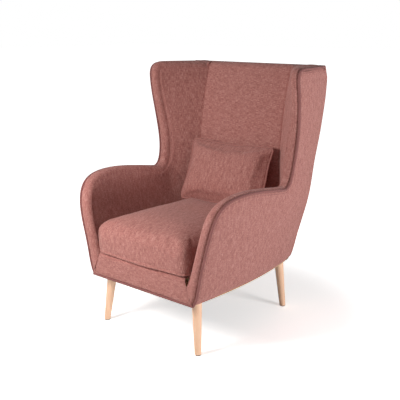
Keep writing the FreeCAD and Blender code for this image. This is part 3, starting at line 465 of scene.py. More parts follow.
def slub_weave(name, dark, middle, light, thread=0.0011, depth=0.0005):
    """Woven cloth. The thread is its own width and the depth is of the relief, in metres."""
    material, tree, surface = shader(name, 0.9, 0.1)
    cloth = node(tree, "TexCoord").outputs["UV"]
    warp = stretched_noise(tree, cloth, WARP_SLUBS)
    weft = stretched_noise(tree, cloth, WEFT_SLUBS)
    patch = stretched_noise(tree, cloth, PATCHES, 1.0)
    slubs = math_node(tree, "MULTIPLY_ADD", weft, WEFT_WEIGHT, warp)
    total = math_node(tree, "MULTIPLY_ADD", patch, PATCH_WEIGHT, slubs)
    share = math_node(tree, "MULTIPLY", total, 1 / (1 + WEFT_WEIGHT + PATCH_WEIGHT))
    colour = ramp(tree, share, ((0.36, dark), (0.50, middle), (0.64, light)))
    tree.links.new(colour, surface.inputs["Base Color"])
    split = node(tree, "SeparateXYZ")
    tree.links.new(cloth, split.inputs[0])
    turn = math.pi / thread
    across = math_node(tree, "SINE", math_node(tree, "MULTIPLY", split.outputs[0], turn))
    over = math_node(tree, "SINE", math_node(tree, "MULTIPLY", split.outputs[1], turn))
    threads = math_node(tree, "MULTIPLY", across, over)
    relief = math_node(tree, "MULTIPLY_ADD", threads, THREAD_WEIGHT, share)
    bump(tree, surface, relief, depth * RELIEF_GAIN, RELIEF_STRENGTH)
    print(name, "made")
    return material


ROSE = srgb(178, 116, 108)
ROSE_DARK = mix_colour(ROSE, srgb(96, 44, 44), 0.55)
ROSE_LIGHT = mix_colour(ROSE, srgb(238, 196, 186), 0.38)
rose_cloth = slub_weave("rose_slub_weave", ROSE_DARK, ROSE, ROSE_LIGHT)
# painted shade: the piping's tones are the rose cloth darkened to stand for the shade that falls on the
# cord
piping_shaded_tones = [srgb(110, 62, 60), srgb(142, 88, 84), srgb(170, 114, 108)]
piping_shaded_cloth = slub_weave("rose_piping_painted_shade_weave", *piping_shaded_tones, 0.0009, 0.0003)

# %% [markdown]
# ## The side panels
#
# The outer panel is one piece of cloth pulled over a board. It is flat against the board but
# turns in beside the piping, and a line of topstitching runs 12 mm inside its edge. The grid's
# rows run from the outline to the bottom and rear edges, so its first columns follow the
# piping all the way round and can hold that groove.


# %% Side panel sizes
PANEL_START = 20.0  # depth where the panel's bottom edge starts
PANEL_BOTTOM, PANEL_REAR = 596.0, 815.0  # length of its bottom edge, and of its rear seam
PANEL_COLUMNS = 30
PIPING_KNOTS = (0, 193, 573, 823, 880, 1290, EDGE_RUN[-1])  # distance along the piping
FAR_KNOTS = (0, 60, 200, 430, 676, 1216, PANEL_BOTTOM + PANEL_REAR)  # and along the far edges
SEAM_END, REAR_LOW_DEPTH = 5.0, 640.0  # below the top line, and where seam and lower edge meet
TURN_UNDER = 10.0  # radius where the cloth turns under the chair
GROOVE = (  # distance in from the piping line, then how far the cloth stands out of the board
    (5.0, -3.2),
    (6.5, -1.4),
    (9.0, -0.2),
    (11.4, 0.0),
    (12.6, -0.7),
    (13.8, 0.0),
    (17.0, 0.3),
    (22.0, 0.0),
)
REAR_TUCK = ((1.5, 0.6), (5.0, 1.0))  # inward, then on past the rear seam
UNDER_TUCK = ((16.0, 0.0), (46.0, 3.0))  # inward under the chair, then up


def lower_and_rear(distance):
    """A point along the panel's bottom edge and rear seam, and whether it is on the seam."""
    if distance <= PANEL_BOTTOM:
        depth = PANEL_START + distance
        return depth, underside(depth), False
    height = BASE + (distance - PANEL_BOTTOM) * (TOP_LINE - SEAM_END - BASE) / PANEL_REAR
    return rear_seam(height) - 1, max(height, underside(REAR_LOW_DEPTH)), True


print("groove beside the piping:", len(GROOVE), "columns")


# %% Side panel
def panel_rows():
    rows = []
    for (d, z, nd, nz), run in zip(EDGE, EDGE_RUN):
        far_d, far_z, rear = lower_and_rear(float(np.interp(run, PIPING_KNOTS, FAR_KNOTS)))
        row = []
        for offset, lift in GROOVE:
            row.append((d - nd * offset, max(z - nz * offset, underside(d)), lift))
        start = row[-1]
        for k in range(1, PANEL_COLUMNS + 1):
            t = k / PANEL_COLUMNS
            row.append((start[0] + (far_d - start[0]) * t, start[1] + (far_z - start[1]) * t, 0.0))
        points = []
        for a, b, lift in row:
            short = TURN_UNDER * clamp(1 - (b - underside(a)) / TURN_UNDER)
            curl = TURN_UNDER - math.sqrt(TURN_UNDER**2 - short**2)
            points.append(place(outer_x(a, b) + lift - curl, a, b))
        edge_x = outer_x(far_d, far_z)
        if rear:
            points += [place(edge_x - inward, far_d + on, far_z) for inward, on in REAR_TUCK]
        else:
            points += [place(edge_x - inward, far_d, far_z + up) for inward, up in UNDER_TUCK]
        rows.append(points)
    return rows


side_panel = grid("side_panel_right", panel_rows())
face_out(side_panel, (3, 0, 0.6))
soften(side_panel, 0.0012, 9)
print("side panel:", len(side_panel.data.polygons), "faces")

# %% [markdown]
# ## The rolled arm and wing
#
# Inside the piping, the cover swells over a roll of foam, turns down over its inner corner and
# runs on as the inside face of the arm and the wing. The roll's outline across its width is a
# short list of shares. At the crook between arm and wing the cloth is gathered into pleats,
# and a fine seam runs from there down to the back.

# %% Roll profile
ROLL = (  # share of the pad's thickness, then how far it stands out of the piping line
    (0.085, -3.0),
    (0.105, 0.0),
    (0.145, 3.6),
    (0.215, 6.6),
    (0.32, 8.2),
    (0.45, 8.9),
    (0.58, 8.4),
    (0.70, 6.6),
    (0.80, 3.6),
    (0.885, -0.8),
    (0.95, -6.0),
    (0.985, -11.5),
    (1.0, -17.0),
)
ROLL_CROWN = max(lift for share, lift in ROLL)
OUTER_COLUMNS = 6  # from the piping to the crown
ROLL_END = -ROLL[-1][1]
GATHER_DEPTH, GATHER_HEIGHT = 462.0, 600.0  # where the pleats are deepest
GATHER_LONG, GATHER_HIGH = 34.0, 62.0  # how far they reach
GATHER_PITCH, GATHER_SWELL = 10.5, 1.5  # from fold to hollow, and how high a fold stands
COVER_SEAM = (  # depth and height along the seam between arm and wing covers
    (425.9, 587.0),
    (471.7, 576.1),
    (502.0, 562.9),
    (525.8, 523.1),
    (551.9, 450.3),
    (577.1, 301.0),
)
SEAM_SINK, SEAM_WIDTH = 2.6, 3.4  # how deep the seam lies, and how wide its groove is


def gathers(d, z, share):
    """Pleats across the roll near the crook, deepest at the inner corner."""
    long, high = (d - GATHER_DEPTH) / GATHER_LONG, (z - GATHER_HEIGHT) / GATHER_HIGH
    wave = math.sin((d * 0.9 + z) / GATHER_PITCH * math.pi)
    return GATHER_SWELL * math.exp(-(long**2) - high**2) * wave * clamp((share - 0.15) * 2)


def seam_dip(d, z):
    """How far the cloth sinks along the seam between arm and wing covers."""
    nearest = math.inf
    for (d0, z0), (d1, z1) in zip(COVER_SEAM, COVER_SEAM[1:]):
        run, climb = d1 - d0, z1 - z0
        t = clamp(((d - d0) * run + (z - z0) * climb) / (run * run + climb * climb))
        nearest = min(nearest, math.hypot(d - d0 - t * run, z - z0 - t * climb))
    return SEAM_SINK * math.exp(-((nearest / SEAM_WIDTH) ** 2))


print("roll profile:", len(ROLL), "columns")

# %% Arm and wing lining
LINING_START = 14.0  # depth where the lining's lower edge starts
LINING_FLOOR, CORNER_TOP = DECK - 10, TOP_LINE - 14  # the corner with the back runs between them
CORNER_LENGTH = 712.0
LINING_SHORT, LINING_TUCK = 2.0, 4.0  # it ends before the back's face on the deck, behind it above
DECK_RUN = back_face(LINING_FLOOR) - LINING_SHORT - LINING_START
TOP_CORNER = back_face(CORNER_TOP)
FOOT_TOP = 304.0  # below it the arm's front is a piece of its own
WING_LOW = 1000.0  # above it the piping runs level along the wing's top
SOFT_PAD, THICK_END = 62.0, 560.0  # the roll is no wider than this, and no thicker behind here
FULL_SHARE = 0.6  # share of the roll's width from which the pad has its full thickness
LINING_COLUMNS = 40


def lining_far(distance):
    """Where each row ends: along the deck, then up the corner with the back."""
    if distance <= DECK_RUN:
        return LINING_START + distance, LINING_FLOOR
    height = LINING_FLOOR + (distance - DECK_RUN) * (CORNER_TOP - LINING_FLOOR) / CORNER_LENGTH
    return back_face(height) + LINING_TUCK, height


def lining_rows():
    start = min(run for e, run in zip(EDGE, EDGE_RUN) if e[1] >= FOOT_TOP)
    end = max(run for e, run in zip(EDGE, EDGE_RUN) if e[0] < TOP_CORNER and e[1] > WING_LOW)
    knots_from = (start, *PIPING_KNOTS[2:6], end)
    knots_to = (0, 170, 400, DECK_RUN + 60, DECK_RUN + 560, DECK_RUN + CORNER_LENGTH)
    rows = []
    for (d, z, nd, nz), run in zip(EDGE, EDGE_RUN):
        if run < start or run > end:
            continue
        far_d, far_z = lining_far(float(np.interp(run, knots_from, knots_to)))
        thick = pad_thickness(min(d, THICK_END) if z < WING_LOW else d, z)
        soft = min(thick, SOFT_PAD)
        points = []
        for share, lift in ROLL:
            wide = thick if share > FULL_SHARE else soft + (thick - soft) * share / FULL_SHARE
            out = lift + gathers(d, z, share)
            points.append(place(outer_x(d, z) - share * wide, d + nd * out, z + nz * out))
        a0, b0 = d - nd * ROLL_END, z - nz * ROLL_END
        for k in range(1, LINING_COLUMNS + 1):
            t = k / LINING_COLUMNS
            a, b = a0 + (far_d - a0) * t, b0 + (far_z - b0) * t
            points.append(place(inner_x(a, b) + seam_dip(a, b), a, b))
        rows.append(points)
    return rows


lining_main = grid("lining_main", lining_rows())
print("lining:", len(lining_main.data.polygons), "faces without its ends")

# %% [markdown]
# ## The ends of the roll
#
# Two ends of the roll don't fit the lining's grid. On the wing's top, the cloth runs level from
# the piping to the inside back. At the arm's foot, the round roll flattens into a narrow band
# that meets the front border in a mitred seam. Each is a small grid of its own, tucked under
# the lining where they meet, and all three are then joined into one piece.

# %% Wing top
TOP_TUCK = ((1.5, 6.5), (-1.0, 3.0), (-2.0, -10.0), (-2.0, -34.0))  # inward, then up
TOP_LEAD, SINK_START = 16.0, 2.0  # it starts before the corner, and sinks from just behind it
TOP_SINK, SINK_LENGTH = 30.0, 12.0  # how far it sinks in front of the corner, and over what length
SINK_OUTWARD = 0.4  # share of the sink by which its inner edge moves outward
LEVEL_COLUMNS = len(ROLL) - 3  # the roll's last three columns turn down, and are left out here


def wing_top_rows():
    """The wing's top behind the corner, which sinks in front so that the lining hides it."""
    rows = []
    for d, z, nd, nz in EDGE:
        if z < WING_LOW or d < TOP_CORNER - TOP_LEAD:
            continue
        thick = outer_x(d, z) - back_half(z)
        sink = TOP_SINK * clamp((TOP_CORNER + SINK_START - d) / SINK_LENGTH)
        points = []
        for share, lift in ROLL[:LEVEL_COLUMNS]:
            height = z + lift - sink * min(share * 2, 1)
            points.append(place(outer_x(d, z) - share * thick, d, height))
        for inward, lift in TOP_TUCK:
            points.append(place(back_half(z) + inward + sink * SINK_OUTWARD, d, z + lift - sink))
        rows.append(points)
    return rows


wing_top = grid("wing_top", wing_top_rows())
print("wing top:", len(wing_top.data.polygons), "faces")

# %% Arm foot
FOOT_END = 334.0  # the foot is tucked behind the lining up to here
FOOT_BLEND = 36.0  # height over which the roll flattens into the mitred corner
FOOT_SLOPE, FOOT_STEPS = 0.3, 5  # lean of its tucked end, and columns from the roll to the seam
SEAM_DROP, SEAM_IN, SEAM_DEEP = 2.2, 1.5, 7.0  # how the cloth dips and turns in at the seam
MITRE_FOOT, MITRE_X, MITRE_NARROWS = 217.0, 262.0, 38.0  # the seam with the front border


def mitre_x(height):
    return MITRE_X - (height - MITRE_FOOT) / (DECK - MITRE_FOOT) * MITRE_NARROWS


def arm_foot_rows():
    """The low front of the arm's band, which ends at the mitred seam with the front border."""
    rows = []
    for d, z, nd, nz in EDGE:
        if z > FOOT_END or d > 1:
            continue
        outer = outer_x(0, z)
        tuck = max(z - FOOT_TOP - 1, 0) * FOOT_SLOPE
        flat = clamp((FOOT_TOP - z) / FOOT_BLEND)
        flat = flat * flat * (3 - 2 * flat)
        points = []
        seam = mitre_x(max(z, MITRE_FOOT - 1))
        for index, (share, lift) in enumerate(ROLL):
            x = outer - share * ARM_PAD
            if index < OUTER_COLUMNS:
                points.append(place(x, tuck - lift, z))
            else:
                points.append(place(max(x, seam), tuck - lift - flat * (ROLL_CROWN - lift), z))
        inner = max(outer - ARM_PAD, seam)
        rolled = ROLL_END - flat * (ROLL_END + ROLL_CROWN)
        for k in range(1, FOOT_STEPS + 1):
            x = inner + (seam - inner) * k / FOOT_STEPS
            points.append(place(x, rolled + tuck + (SEAM_DROP if k == FOOT_STEPS else 0), z))
        points.append(place(seam - SEAM_IN, rolled + SEAM_DEEP + tuck, z))
        rows.append(points)
    return rows


arm_foot = grid("arm_foot", arm_foot_rows())
print("arm foot:", len(arm_foot.data.polygons), "faces")

# %% Whole lining
for part in (lining_main, wing_top):
    face_out(part, (0, -0.2, 1.4))
face_out(arm_foot, (0.2, -3, 0.3))
lining = join("arm_wing_lining_right", [lining_main, wing_top, arm_foot])
soften(lining, 0.0016, 8)
print("lining:", len(lining.data.polygons), "faces")

# %% [markdown]
# ## The inside back
#
# One panel fills the space between the wings. It is slightly crowned, its edges sink into the
# corners where it is pulled through, and its top rolls over the rail to the rear piping. Its
# rows run across the chair, one above the other along a path that is drawn once, so the lean
# of the back and the roll at the top come from the same few lines.

# %% Inside back path
BACK_COLUMNS, BACK_ROWS = 56, 70
BACK_CROWN, BACK_PULL = 11.0, 7.0  # how far the middle stands out, and the edges sink
PULL_START = 0.955  # share of the half width where the edge starts to sink
TOP_ROLL, TOP_RISE = 22.0, 21.0  # how far back and up the top rolls
ROLL_ROWS, TOP_ROWS = 8, 7  # rows over the roll, and from there to the piping
TOP_SHORT, TOP_DROP, EDGE_DROP = 8.0, 4.0, 4.0  # before the seam, down to it, and at the sides
BACK_TUCK, CROWN_END = 3.0, 30.0  # past the half width, and how far behind the face it's flat


def inside_back_path():
    """Up the face, over the roll and back to the piping: height, then depth behind the face."""
    foot = DECK - 12
    path = [(foot + (CORNER_TOP - foot) * k / BACK_ROWS, 0.0) for k in range(BACK_ROWS + 1)]
    for k in range(1, ROLL_ROWS + 1):
        turn = math.pi / 2 * k / ROLL_ROWS
        path.append((CORNER_TOP + TOP_RISE * math.sin(turn), TOP_ROLL * (1 - math.cos(turn))))
    run = rear_seam(TOP_LINE) - TOP_SHORT - back_face(TOP_LINE) - TOP_ROLL
    for k in range(1, TOP_ROWS + 1):
        drop = TOP_DROP * (k / TOP_ROWS) ** 2
        path.append((CORNER_TOP + TOP_RISE - drop, TOP_ROLL + run * k / TOP_ROWS))
    path.append((TOP_LINE - 2, TOP_ROLL + run + 3))
    return path


print("inside back:", len(inside_back_path()), "rows")


# %% Inside back panel
def inside_back_rows():
    rows = []
    for height, behind in inside_back_path():
        half = back_half(height) + BACK_TUCK
        row = []
        for k in range(BACK_COLUMNS + 1):
            c = -1 + 2 * k / BACK_COLUMNS
            edge = max(abs(c) - PULL_START, 0) / (1 - PULL_START)
            crown = BACK_CROWN * (1 - c * c) * max(1 - behind / CROWN_END, 0)
            pull = BACK_PULL * edge**2 if behind < TOP_ROLL else 0
            drop = EDGE_DROP * edge**2 if behind > 8 else 0
            depth = back_face(min(height, TOP_LINE)) + behind - crown + pull
            row.append(place(c * half, depth, height - drop))
        rows.append(row)
    return rows


back_panel = grid("inside_back_panel", inside_back_rows())
face_out(back_panel, (0, -3, 1.2))
soften(back_panel, 0.003, 7)
print("inside back:", len(back_panel.data.polygons), "faces")

# %% [markdown]
# ## The outside back
#
# The back cover starts at the rear seams, turns round two soft vertical corners and is almost
# flat between them. Near the top it leans forward over the rail to the piping. Each row is the
# cover's outline at one height as seen from above, so the corners stay round all the way up.

# %% Shoulder of the outside back
REAR_FACE, SHOULDER = 755.3, 78.0  # rearmost depth, and how far below the top it starts to lean
SHOULDER_CURVE = (
    (716.3, TOP_LINE + 4),
    (742.6, TOP_LINE - 9),
    (REAR_FACE, TOP_LINE - 37),
    (REAR_FACE, TOP_LINE - SHOULDER),
)


def shoulder_depth(height):
    """Rearmost depth of the cover at a height, where it leans over the top."""
    if height <= TOP_LINE - SHOULDER:
        return math.inf
    for k in range(201):
        depth, level = blend_poles(bezier_weights(k / 200), SHOULDER_CURVE)
        if level <= height:
            return depth
    return REAR_FACE


print("shoulder leans forward by", round(REAR_FACE - shoulder_depth(TOP_LINE)), "mm")

# %% Outside back panel
CLOSE_ROWS, CLOSE_START, CLOSE_RISE = 26, TOP_LINE - 84, 88.0  # rows draw together over this
REAR_CORNER, REAR_CROWN = 26.0, 4.0  # radius of the vertical corners, and crown between them
REAR_FULLNESS = 5.0  # the cover is padded out by this below the top
SIDE_STEPS, ROUND_STEPS, REAR_STEPS = 6, 8, 24  # of each row: side, corner, and on to the middle
REAR_TUCK_IN, REAR_TUCK_PAST = 1.6, 0.6  # how each row starts under the side panel
REAR_LOW, REAR_PITCH = 700.0, 12.0  # depth where the cover's lower edge is, and from row to row


def outside_back_row(height, curl=0.0):
    """One level of the cover. A curl draws it inward, where it turns under the chair."""
    full = clamp((height - CLOSE_START) / 40) * clamp((TOP_LINE + 4 - height) / 8)
    seam = rear_seam(min(height, TOP_LINE))
    rear = min(along(SHELL, height, 2) * BACK, shoulder_depth(height)) + REAR_FULLNESS * full
    if curl == 0:
        height = max(height, underside(rear))
    corner = max(min(REAR_CORNER, (rear - seam) * 0.8), 2)
    seam = min(seam, rear - corner - 0.5)
    side = []
    for k in range(SIDE_STEPS + 1):
        depth = seam + (rear - corner - seam) * k / SIDE_STEPS
        sunk, past = (0.0, 0.0) if k else (REAR_TUCK_IN, REAR_TUCK_PAST)
        side.append((outer_x(depth, height) - sunk - curl, depth + past))
    start_x = side[-1][0]
    for k in range(1, ROUND_STEPS + 1):
        turn = math.pi / 2 * k / ROUND_STEPS
        x = start_x - corner * (1 - math.cos(turn))
        side.append((x, rear - corner + corner * math.sin(turn) - curl))
    edge_x = side[-1][0]
    rise = REAR_CROWN * corner / REAR_CORNER
    for k in range(1, REAR_STEPS + 1):
        x = edge_x * (1 - k / REAR_STEPS)
        side.append((x, rear + rise * (1 - (x / edge_x) ** 2) - curl))
    both = side + [(-x, depth) for x, depth in reversed(side[:-1])]
    return [place(x, depth, height) for x, depth in both]


def outside_back_rows():
    low = underside(REAR_LOW)
    rows = [outside_back_row(low + 3, 34.0), outside_back_row(low, 14.0)]
    heights = [low + 1.5, low + 4, low + 9] + [low + 16 + k * REAR_PITCH for k in range(60)]
    for z in heights:
        if z < CLOSE_START:
            rows.append(outside_back_row(z, max(8 - (z - low), 0) * 0.5))
    for k in range(1, CLOSE_ROWS + 1):
        t = k / CLOSE_ROWS
        rows.append(outside_back_row(CLOSE_START + CLOSE_RISE * (1 - (1 - t) ** 1.6)))
    return rows


outside_back = grid("outside_back_panel", outside_back_rows())
face_out(outside_back, (0, 3, 0.6))
soften(outside_back, 0.0016, 6)
print("outside back:", len(outside_back.data.polygons), "faces")

# %% [markdown]
# ## The front border and the deck
#
# A narrow panel closes the front under the cushion, between the two mitred seams. Its top
# turns back onto the deck, the plain darker cloth that the cushion lies on. Deck and dust
# cover are single sheets stretched between the sides, so level grids are enough for them.

# %% Front border
BORDER_FACE = -8.6  # depth of the border's face
BORDER_ROUND, BORDER_TURN = 16.0, 292.0  # radius at its top, and where that starts
BORDER_SWELL, BORDER_TUCK = 1.6, 3.5  # swell of the face, and how far its ends sink
BORDER_EDGE, BORDER_EDGE_WIDTH = 0.975, 0.025  # shares of the half width: where they sink
BORDER_PITCH, BORDER_COLUMNS = 8.2, 48


def border_path():
    """Up the face and back onto the deck: depth, then height."""
    path = [(-4.0, 216.5), (-7.4, 218.0)] + [(BORDER_FACE, 221 + k * BORDER_PITCH) for k in range(9)]
    for k in range(1, 7):
        turn = math.pi / 2 * k / 6
        depth = BORDER_FACE + BORDER_ROUND * (1 - math.cos(turn))
        path.append((depth, BORDER_TURN + BORDER_ROUND * math.sin(turn)))
    return path + [(16.0, 308.3), (26.0, 307.0)]


def border_rows():
    rows = []
    for depth, height in border_path():
        half = mitre_x(min(max(height, MITRE_FOOT - 1), DECK)) - 0.8
        row = []
        for k in range(BORDER_COLUMNS + 1):
            c = -1 + 2 * k / BORDER_COLUMNS
            swell = BORDER_SWELL * (1 - c * c) if depth < 0 else 0
            tuck = BORDER_TUCK * max(abs(c) - BORDER_EDGE, 0) / BORDER_EDGE_WIDTH
            drop = 0.8 * tuck if depth > 0 else 0
            row.append(place(c * half, depth - swell + tuck, height - drop))
        rows.append(row)
    return rows


border = grid("front_border_panel", border_rows())
face_out(border, (0, -3, 1.5))
soften(border, 0.0022, 12)
print("front border:", len(border.data.polygons), "faces")


# %% Deck and dust covers
CLOTH_FRONT, CLOTH_REAR = 24.0, 604.0  # depths
CLOTH_STEPS = 32


def flat_cloth(name, height, inside, sag):
    """A level sheet between the sides, so far inside them, that sags in the middle."""
    rows = []
    for i in range(CLOTH_STEPS + 1):
        b = -1 + 2 * i / CLOTH_STEPS
        depth = CLOTH_FRONT + (CLOTH_REAR - CLOTH_FRONT) * i / CLOTH_STEPS
        half = outer_x(depth, height) - inside
        row = []
        for k in range(CLOTH_STEPS + 1):
            c = -1 + 2 * k / CLOTH_STEPS
            row.append(place(c * half, depth, height - sag * (1 - c**4) * (1 - b**4)))
        rows.append(row)
    return grid(name, rows)


deck_cloth_piece = flat_cloth("deck_cloth", DECK + 0.4, 15, 0.8)
dust_cloth_piece = flat_cloth("underside_cloth", 210.2, 12, 1.5)
face_out(deck_cloth_piece, (0, 0, 3))
face_out(dust_cloth_piece, (0, 0, -3))
print("deck and underside cloths made")

# %% [markdown]
# ## Piping and stitching
#
# Piping is a cord wrapped in cloth and sewn into the seam. A curve with a round section makes
# it, because it follows the outline and keeps its thickness. The topstitching is a row of
# small separate stitches that lie in the groove of the panel beside it.

# %% Piping
PIPING_RADIUS, FRONT_PIPING_RADIUS = 0.0048, 0.0052  # metres
PIPING_STEPS = 60
PIPING_OUT, PIPING_LIFT = 0.4, 0.5  # how far the side cord stands out sideways, and of its line
FRONT_DEPTH, FRONT_HEIGHT = -6.5, 212.0  # of the cord along the front


def tube_curve(name, points, radius, closed=False):
    """A round cord along a line of points, as a mesh. The radius is in metres."""
    curve = bpy.data.curves.new(name, "CURVE")
    curve.dimensions = "3D"
    curve.bevel_depth = radius
    curve.bevel_resolution = 5
    curve.use_fill_caps = True
    line = curve.splines.new("POLY")
    line.points.add(len(points) - 1)
    for point, place_at in zip(line.points, points):
        point.co = (*place_at, 1)
    line.use_cyclic_u = closed
    item = show(name, curve)
    mesh = bpy.data.meshes.new_from_object(item)
    mesh.name = name
    smooth(mesh)
    bpy.data.objects.remove(item)
    return show(name, mesh)


def across(half, depth, height):
    """A level line of points from one side of the chair to the other."""
    count = PIPING_STEPS
    return [place(half * (1 - 2 * k / count), depth, height) for k in range(count + 1)]


side_line = []
for d, z, nd, nz in EDGE:
    side_line.append(place(outer_x(d, z) + PIPING_OUT, d + nd * PIPING_LIFT, z + nz * PIPING_LIFT))
side_cord = tube_curve("side_piping_right_cord", side_line, PIPING_RADIUS)
top_seam = rear_seam(TOP_LINE)
top_line = across(outer_x(top_seam, TOP_LINE) + 1, top_seam - 5, TOP_LINE + 2)
top_cord = tube_curve("top_piping_cord", top_line, PIPING_RADIUS)
front_line = across(outer_x(0, FRONT_HEIGHT + 1) - 3, FRONT_DEPTH, FRONT_HEIGHT)
front_cord = tube_curve("front_piping_cord", front_line, FRONT_PIPING_RADIUS)
print("piping: sides, top and front")


# %% Topstitches
STITCH_INSET = 12.6  # from the piping line
STITCH_PITCH, STITCH_LENGTH, STITCH_RADIUS = 0.0062, 0.0042, 0.0006  # metres
STITCH_SIDES = 6


def stitches(name, path):
    """Small rounded stitches along a line of points, each with a gap after it."""
    runs = [0.0]
    for a, b in zip(path, path[1:]):
        runs.append(runs[-1] + (b - a).length)
    points, faces = [], []

    def at(distance):
        distance = min(max(distance, 0), runs[-1])
        return Vector([float(np.interp(distance, runs, [p[i] for p in path])) for i in range(3)])

    for index in range(int(runs[-1] / STITCH_PITCH)):
        start = index * STITCH_PITCH
        a, b = at(start), at(start + STITCH_LENGTH)
        way = (b - a).normalized()
        side = way.cross(Vector((1, 0, 0))).normalized()
        up = side.cross(way)
        base = len(points)
        for t, swell in ((0, 0.25), (0.25, 1.0), (0.75, 1.0), (1, 0.25)):
            for k in range(STITCH_SIDES):
                turn = 2 * math.pi / STITCH_SIDES * k
                out = side * math.cos(turn) + up * math.sin(turn)
                points.append(a + (b - a) * t + out * STITCH_RADIUS * swell)
        for ring in range(3):
            low = base + ring * STITCH_SIDES
            high = low + STITCH_SIDES
            for k in range(STITCH_SIDES):
                after = (k + 1) % STITCH_SIDES
                faces.append((low + k, low + after, high + after, high + k))
    return make_object(name, points, faces)


print("stitches are", STITCH_LENGTH * 1000, "mm long")

# %% Topstitching
stitch_line = []
for d, z, nd, nz in EDGE[3:]:
    a, b = d - nd * STITCH_INSET, z - nz * STITCH_INSET
    stitch_line.append(place(outer_x(a, b) + 0.1, a, b))
side_stitches = stitches("side_topstitch_right", stitch_line)
print("topstitching:", len(side_stitches.data.polygons) // 18, "stitches a side")

# %% [markdown]
# ## The loose cushion
#
# The seat cushion is a soft box without piping: the front, top and sides run into each other
# over wide rounded edges, and the middle is crowned. It starts as a slightly small closed
# form, is remeshed into even quads, and a cloth simulation with air pressure inside then
# rounds it, as the stuffing does. Sculpting could do it too, but can't be run again when a size
# changes. The move of each point is capped, so the cushion stays in its place.

# %% Modifier helpers
def bake(item):
    """Replace an object's mesh by what its modifiers make of it."""
    graph = bpy.context.evaluated_depsgraph_get()
    mesh = bpy.data.meshes.new_from_object(item.evaluated_get(graph))
    item.modifiers.clear()
    old = item.data
    item.data = mesh
    bpy.data.meshes.remove(old)
    smooth(mesh)


def even_mesh(item, voxel):
    modifier = item.modifiers.new("even", "REMESH")
    modifier.mode = "VOXEL"
    modifier.voxel_size = voxel
    bake(item)


def subdivide(item):
    modifier = item.modifiers.new("smooth", "SUBSURF")
    modifier.levels = modifier.render_levels = 1
    bake(item)


print("modifier helpers ready")

# %% Simulation
STEPS = 20  # frames of the simulation


def blow_up(item, pressure):
    """Run the cloth simulation with air inside and without weight."""
    modifier = item.modifiers.new("cloth", "CLOTH")
    settings = modifier.settings
    settings.quality = 5
    settings.mass = 0.3
    settings.use_pressure = True
    settings.uniform_pressure_force = pressure
    settings.effector_weights.gravity = 0
    settings.tension_stiffness = 12
    settings.compression_stiffness = 12
    settings.shear_stiffness = 6
    settings.bending_stiffness = 0.4
    modifier.collision_settings.use_collision = False
    modifier.point_cache.frame_start = 1
    modifier.point_cache.frame_end = STEPS
    for step in range(1, STEPS + 1):
        scene.frame_set(step)
    bake(item)
    scene.frame_set(1)


print("simulation:", STEPS, "frames")


# %% Capped filling
def corners(item):
    return np.array([v.co[:] for v in item.data.vertices])


def inflate(item, pressure, cap, hold):
    """Blow a closed cloth form up, then cap how far each point went: hold says by what share."""
    start = corners(item)
    blow_up(item, pressure)
    moved = corners(item) - start
    length = np.linalg.norm(moved, axis=1)
    limit = cap * np.array([hold(Vector(p)) for p in start])
    scale = np.minimum(1.0, limit / np.maximum(length, 1e-9))
    placed = start + moved * scale[:, None]
    item.data.vertices.foreach_set("co", placed.ravel())
    item.data.update()
    print(item.name, "moved by up to", round(float(length.max()) * 1000, 1), "mm, capped at", cap * 1000)


print("filling helper ready")

# %% Cushion sizes
CUSHION_FRONT, CUSHION_REAR = -36.0, 545.0  # depths of its front edge and rear edge
CUSHION_HALF_FRONT, CUSHION_HALF_REAR = 244.0, 228.0
CUSHION_CORNER, CUSHION_REAR_CORNER = 46.0, 22.0
CUSHION_BOW, CUSHION_SIDE_BOW = 17.0, 6.0
NOSE_SHARE, NOSE_DEPTH, NOSE_LENGTH = 0.04, 30.0, 50.0  # the front swells past the arms
CUSHION_LOW, CUSHION_EDGE, CUSHION_CROWN = DECK + 0.5, DECK + 122.0, 34.0  # heights, and a rise
UNDER_ROUND, TOP_ROUND = 24.0, 36.0  # radii of the rolled edges
CROWN_SPREAD = 180.0
FRONT_STEPS, CORNER_STEPS, SIDE_RUN_STEPS = 16, 8, 16  # points round the plan
REAR_CORNER_STEPS, REAR_RUN_STEPS = 4, 8
CROWN_SHARES = (  # how far in over the top, then how far up
    (0.0, 0.0),
    (0.12, 0.24),
    (0.26, 0.48),
    (0.42, 0.70),
    (0.6, 0.87),
    (0.8, 0.97),
    (0.94, 1.0),
)
print("cushion:", 2 * CUSHION_HALF_FRONT, "by", CUSHION_REAR - CUSHION_FRONT, "mm")


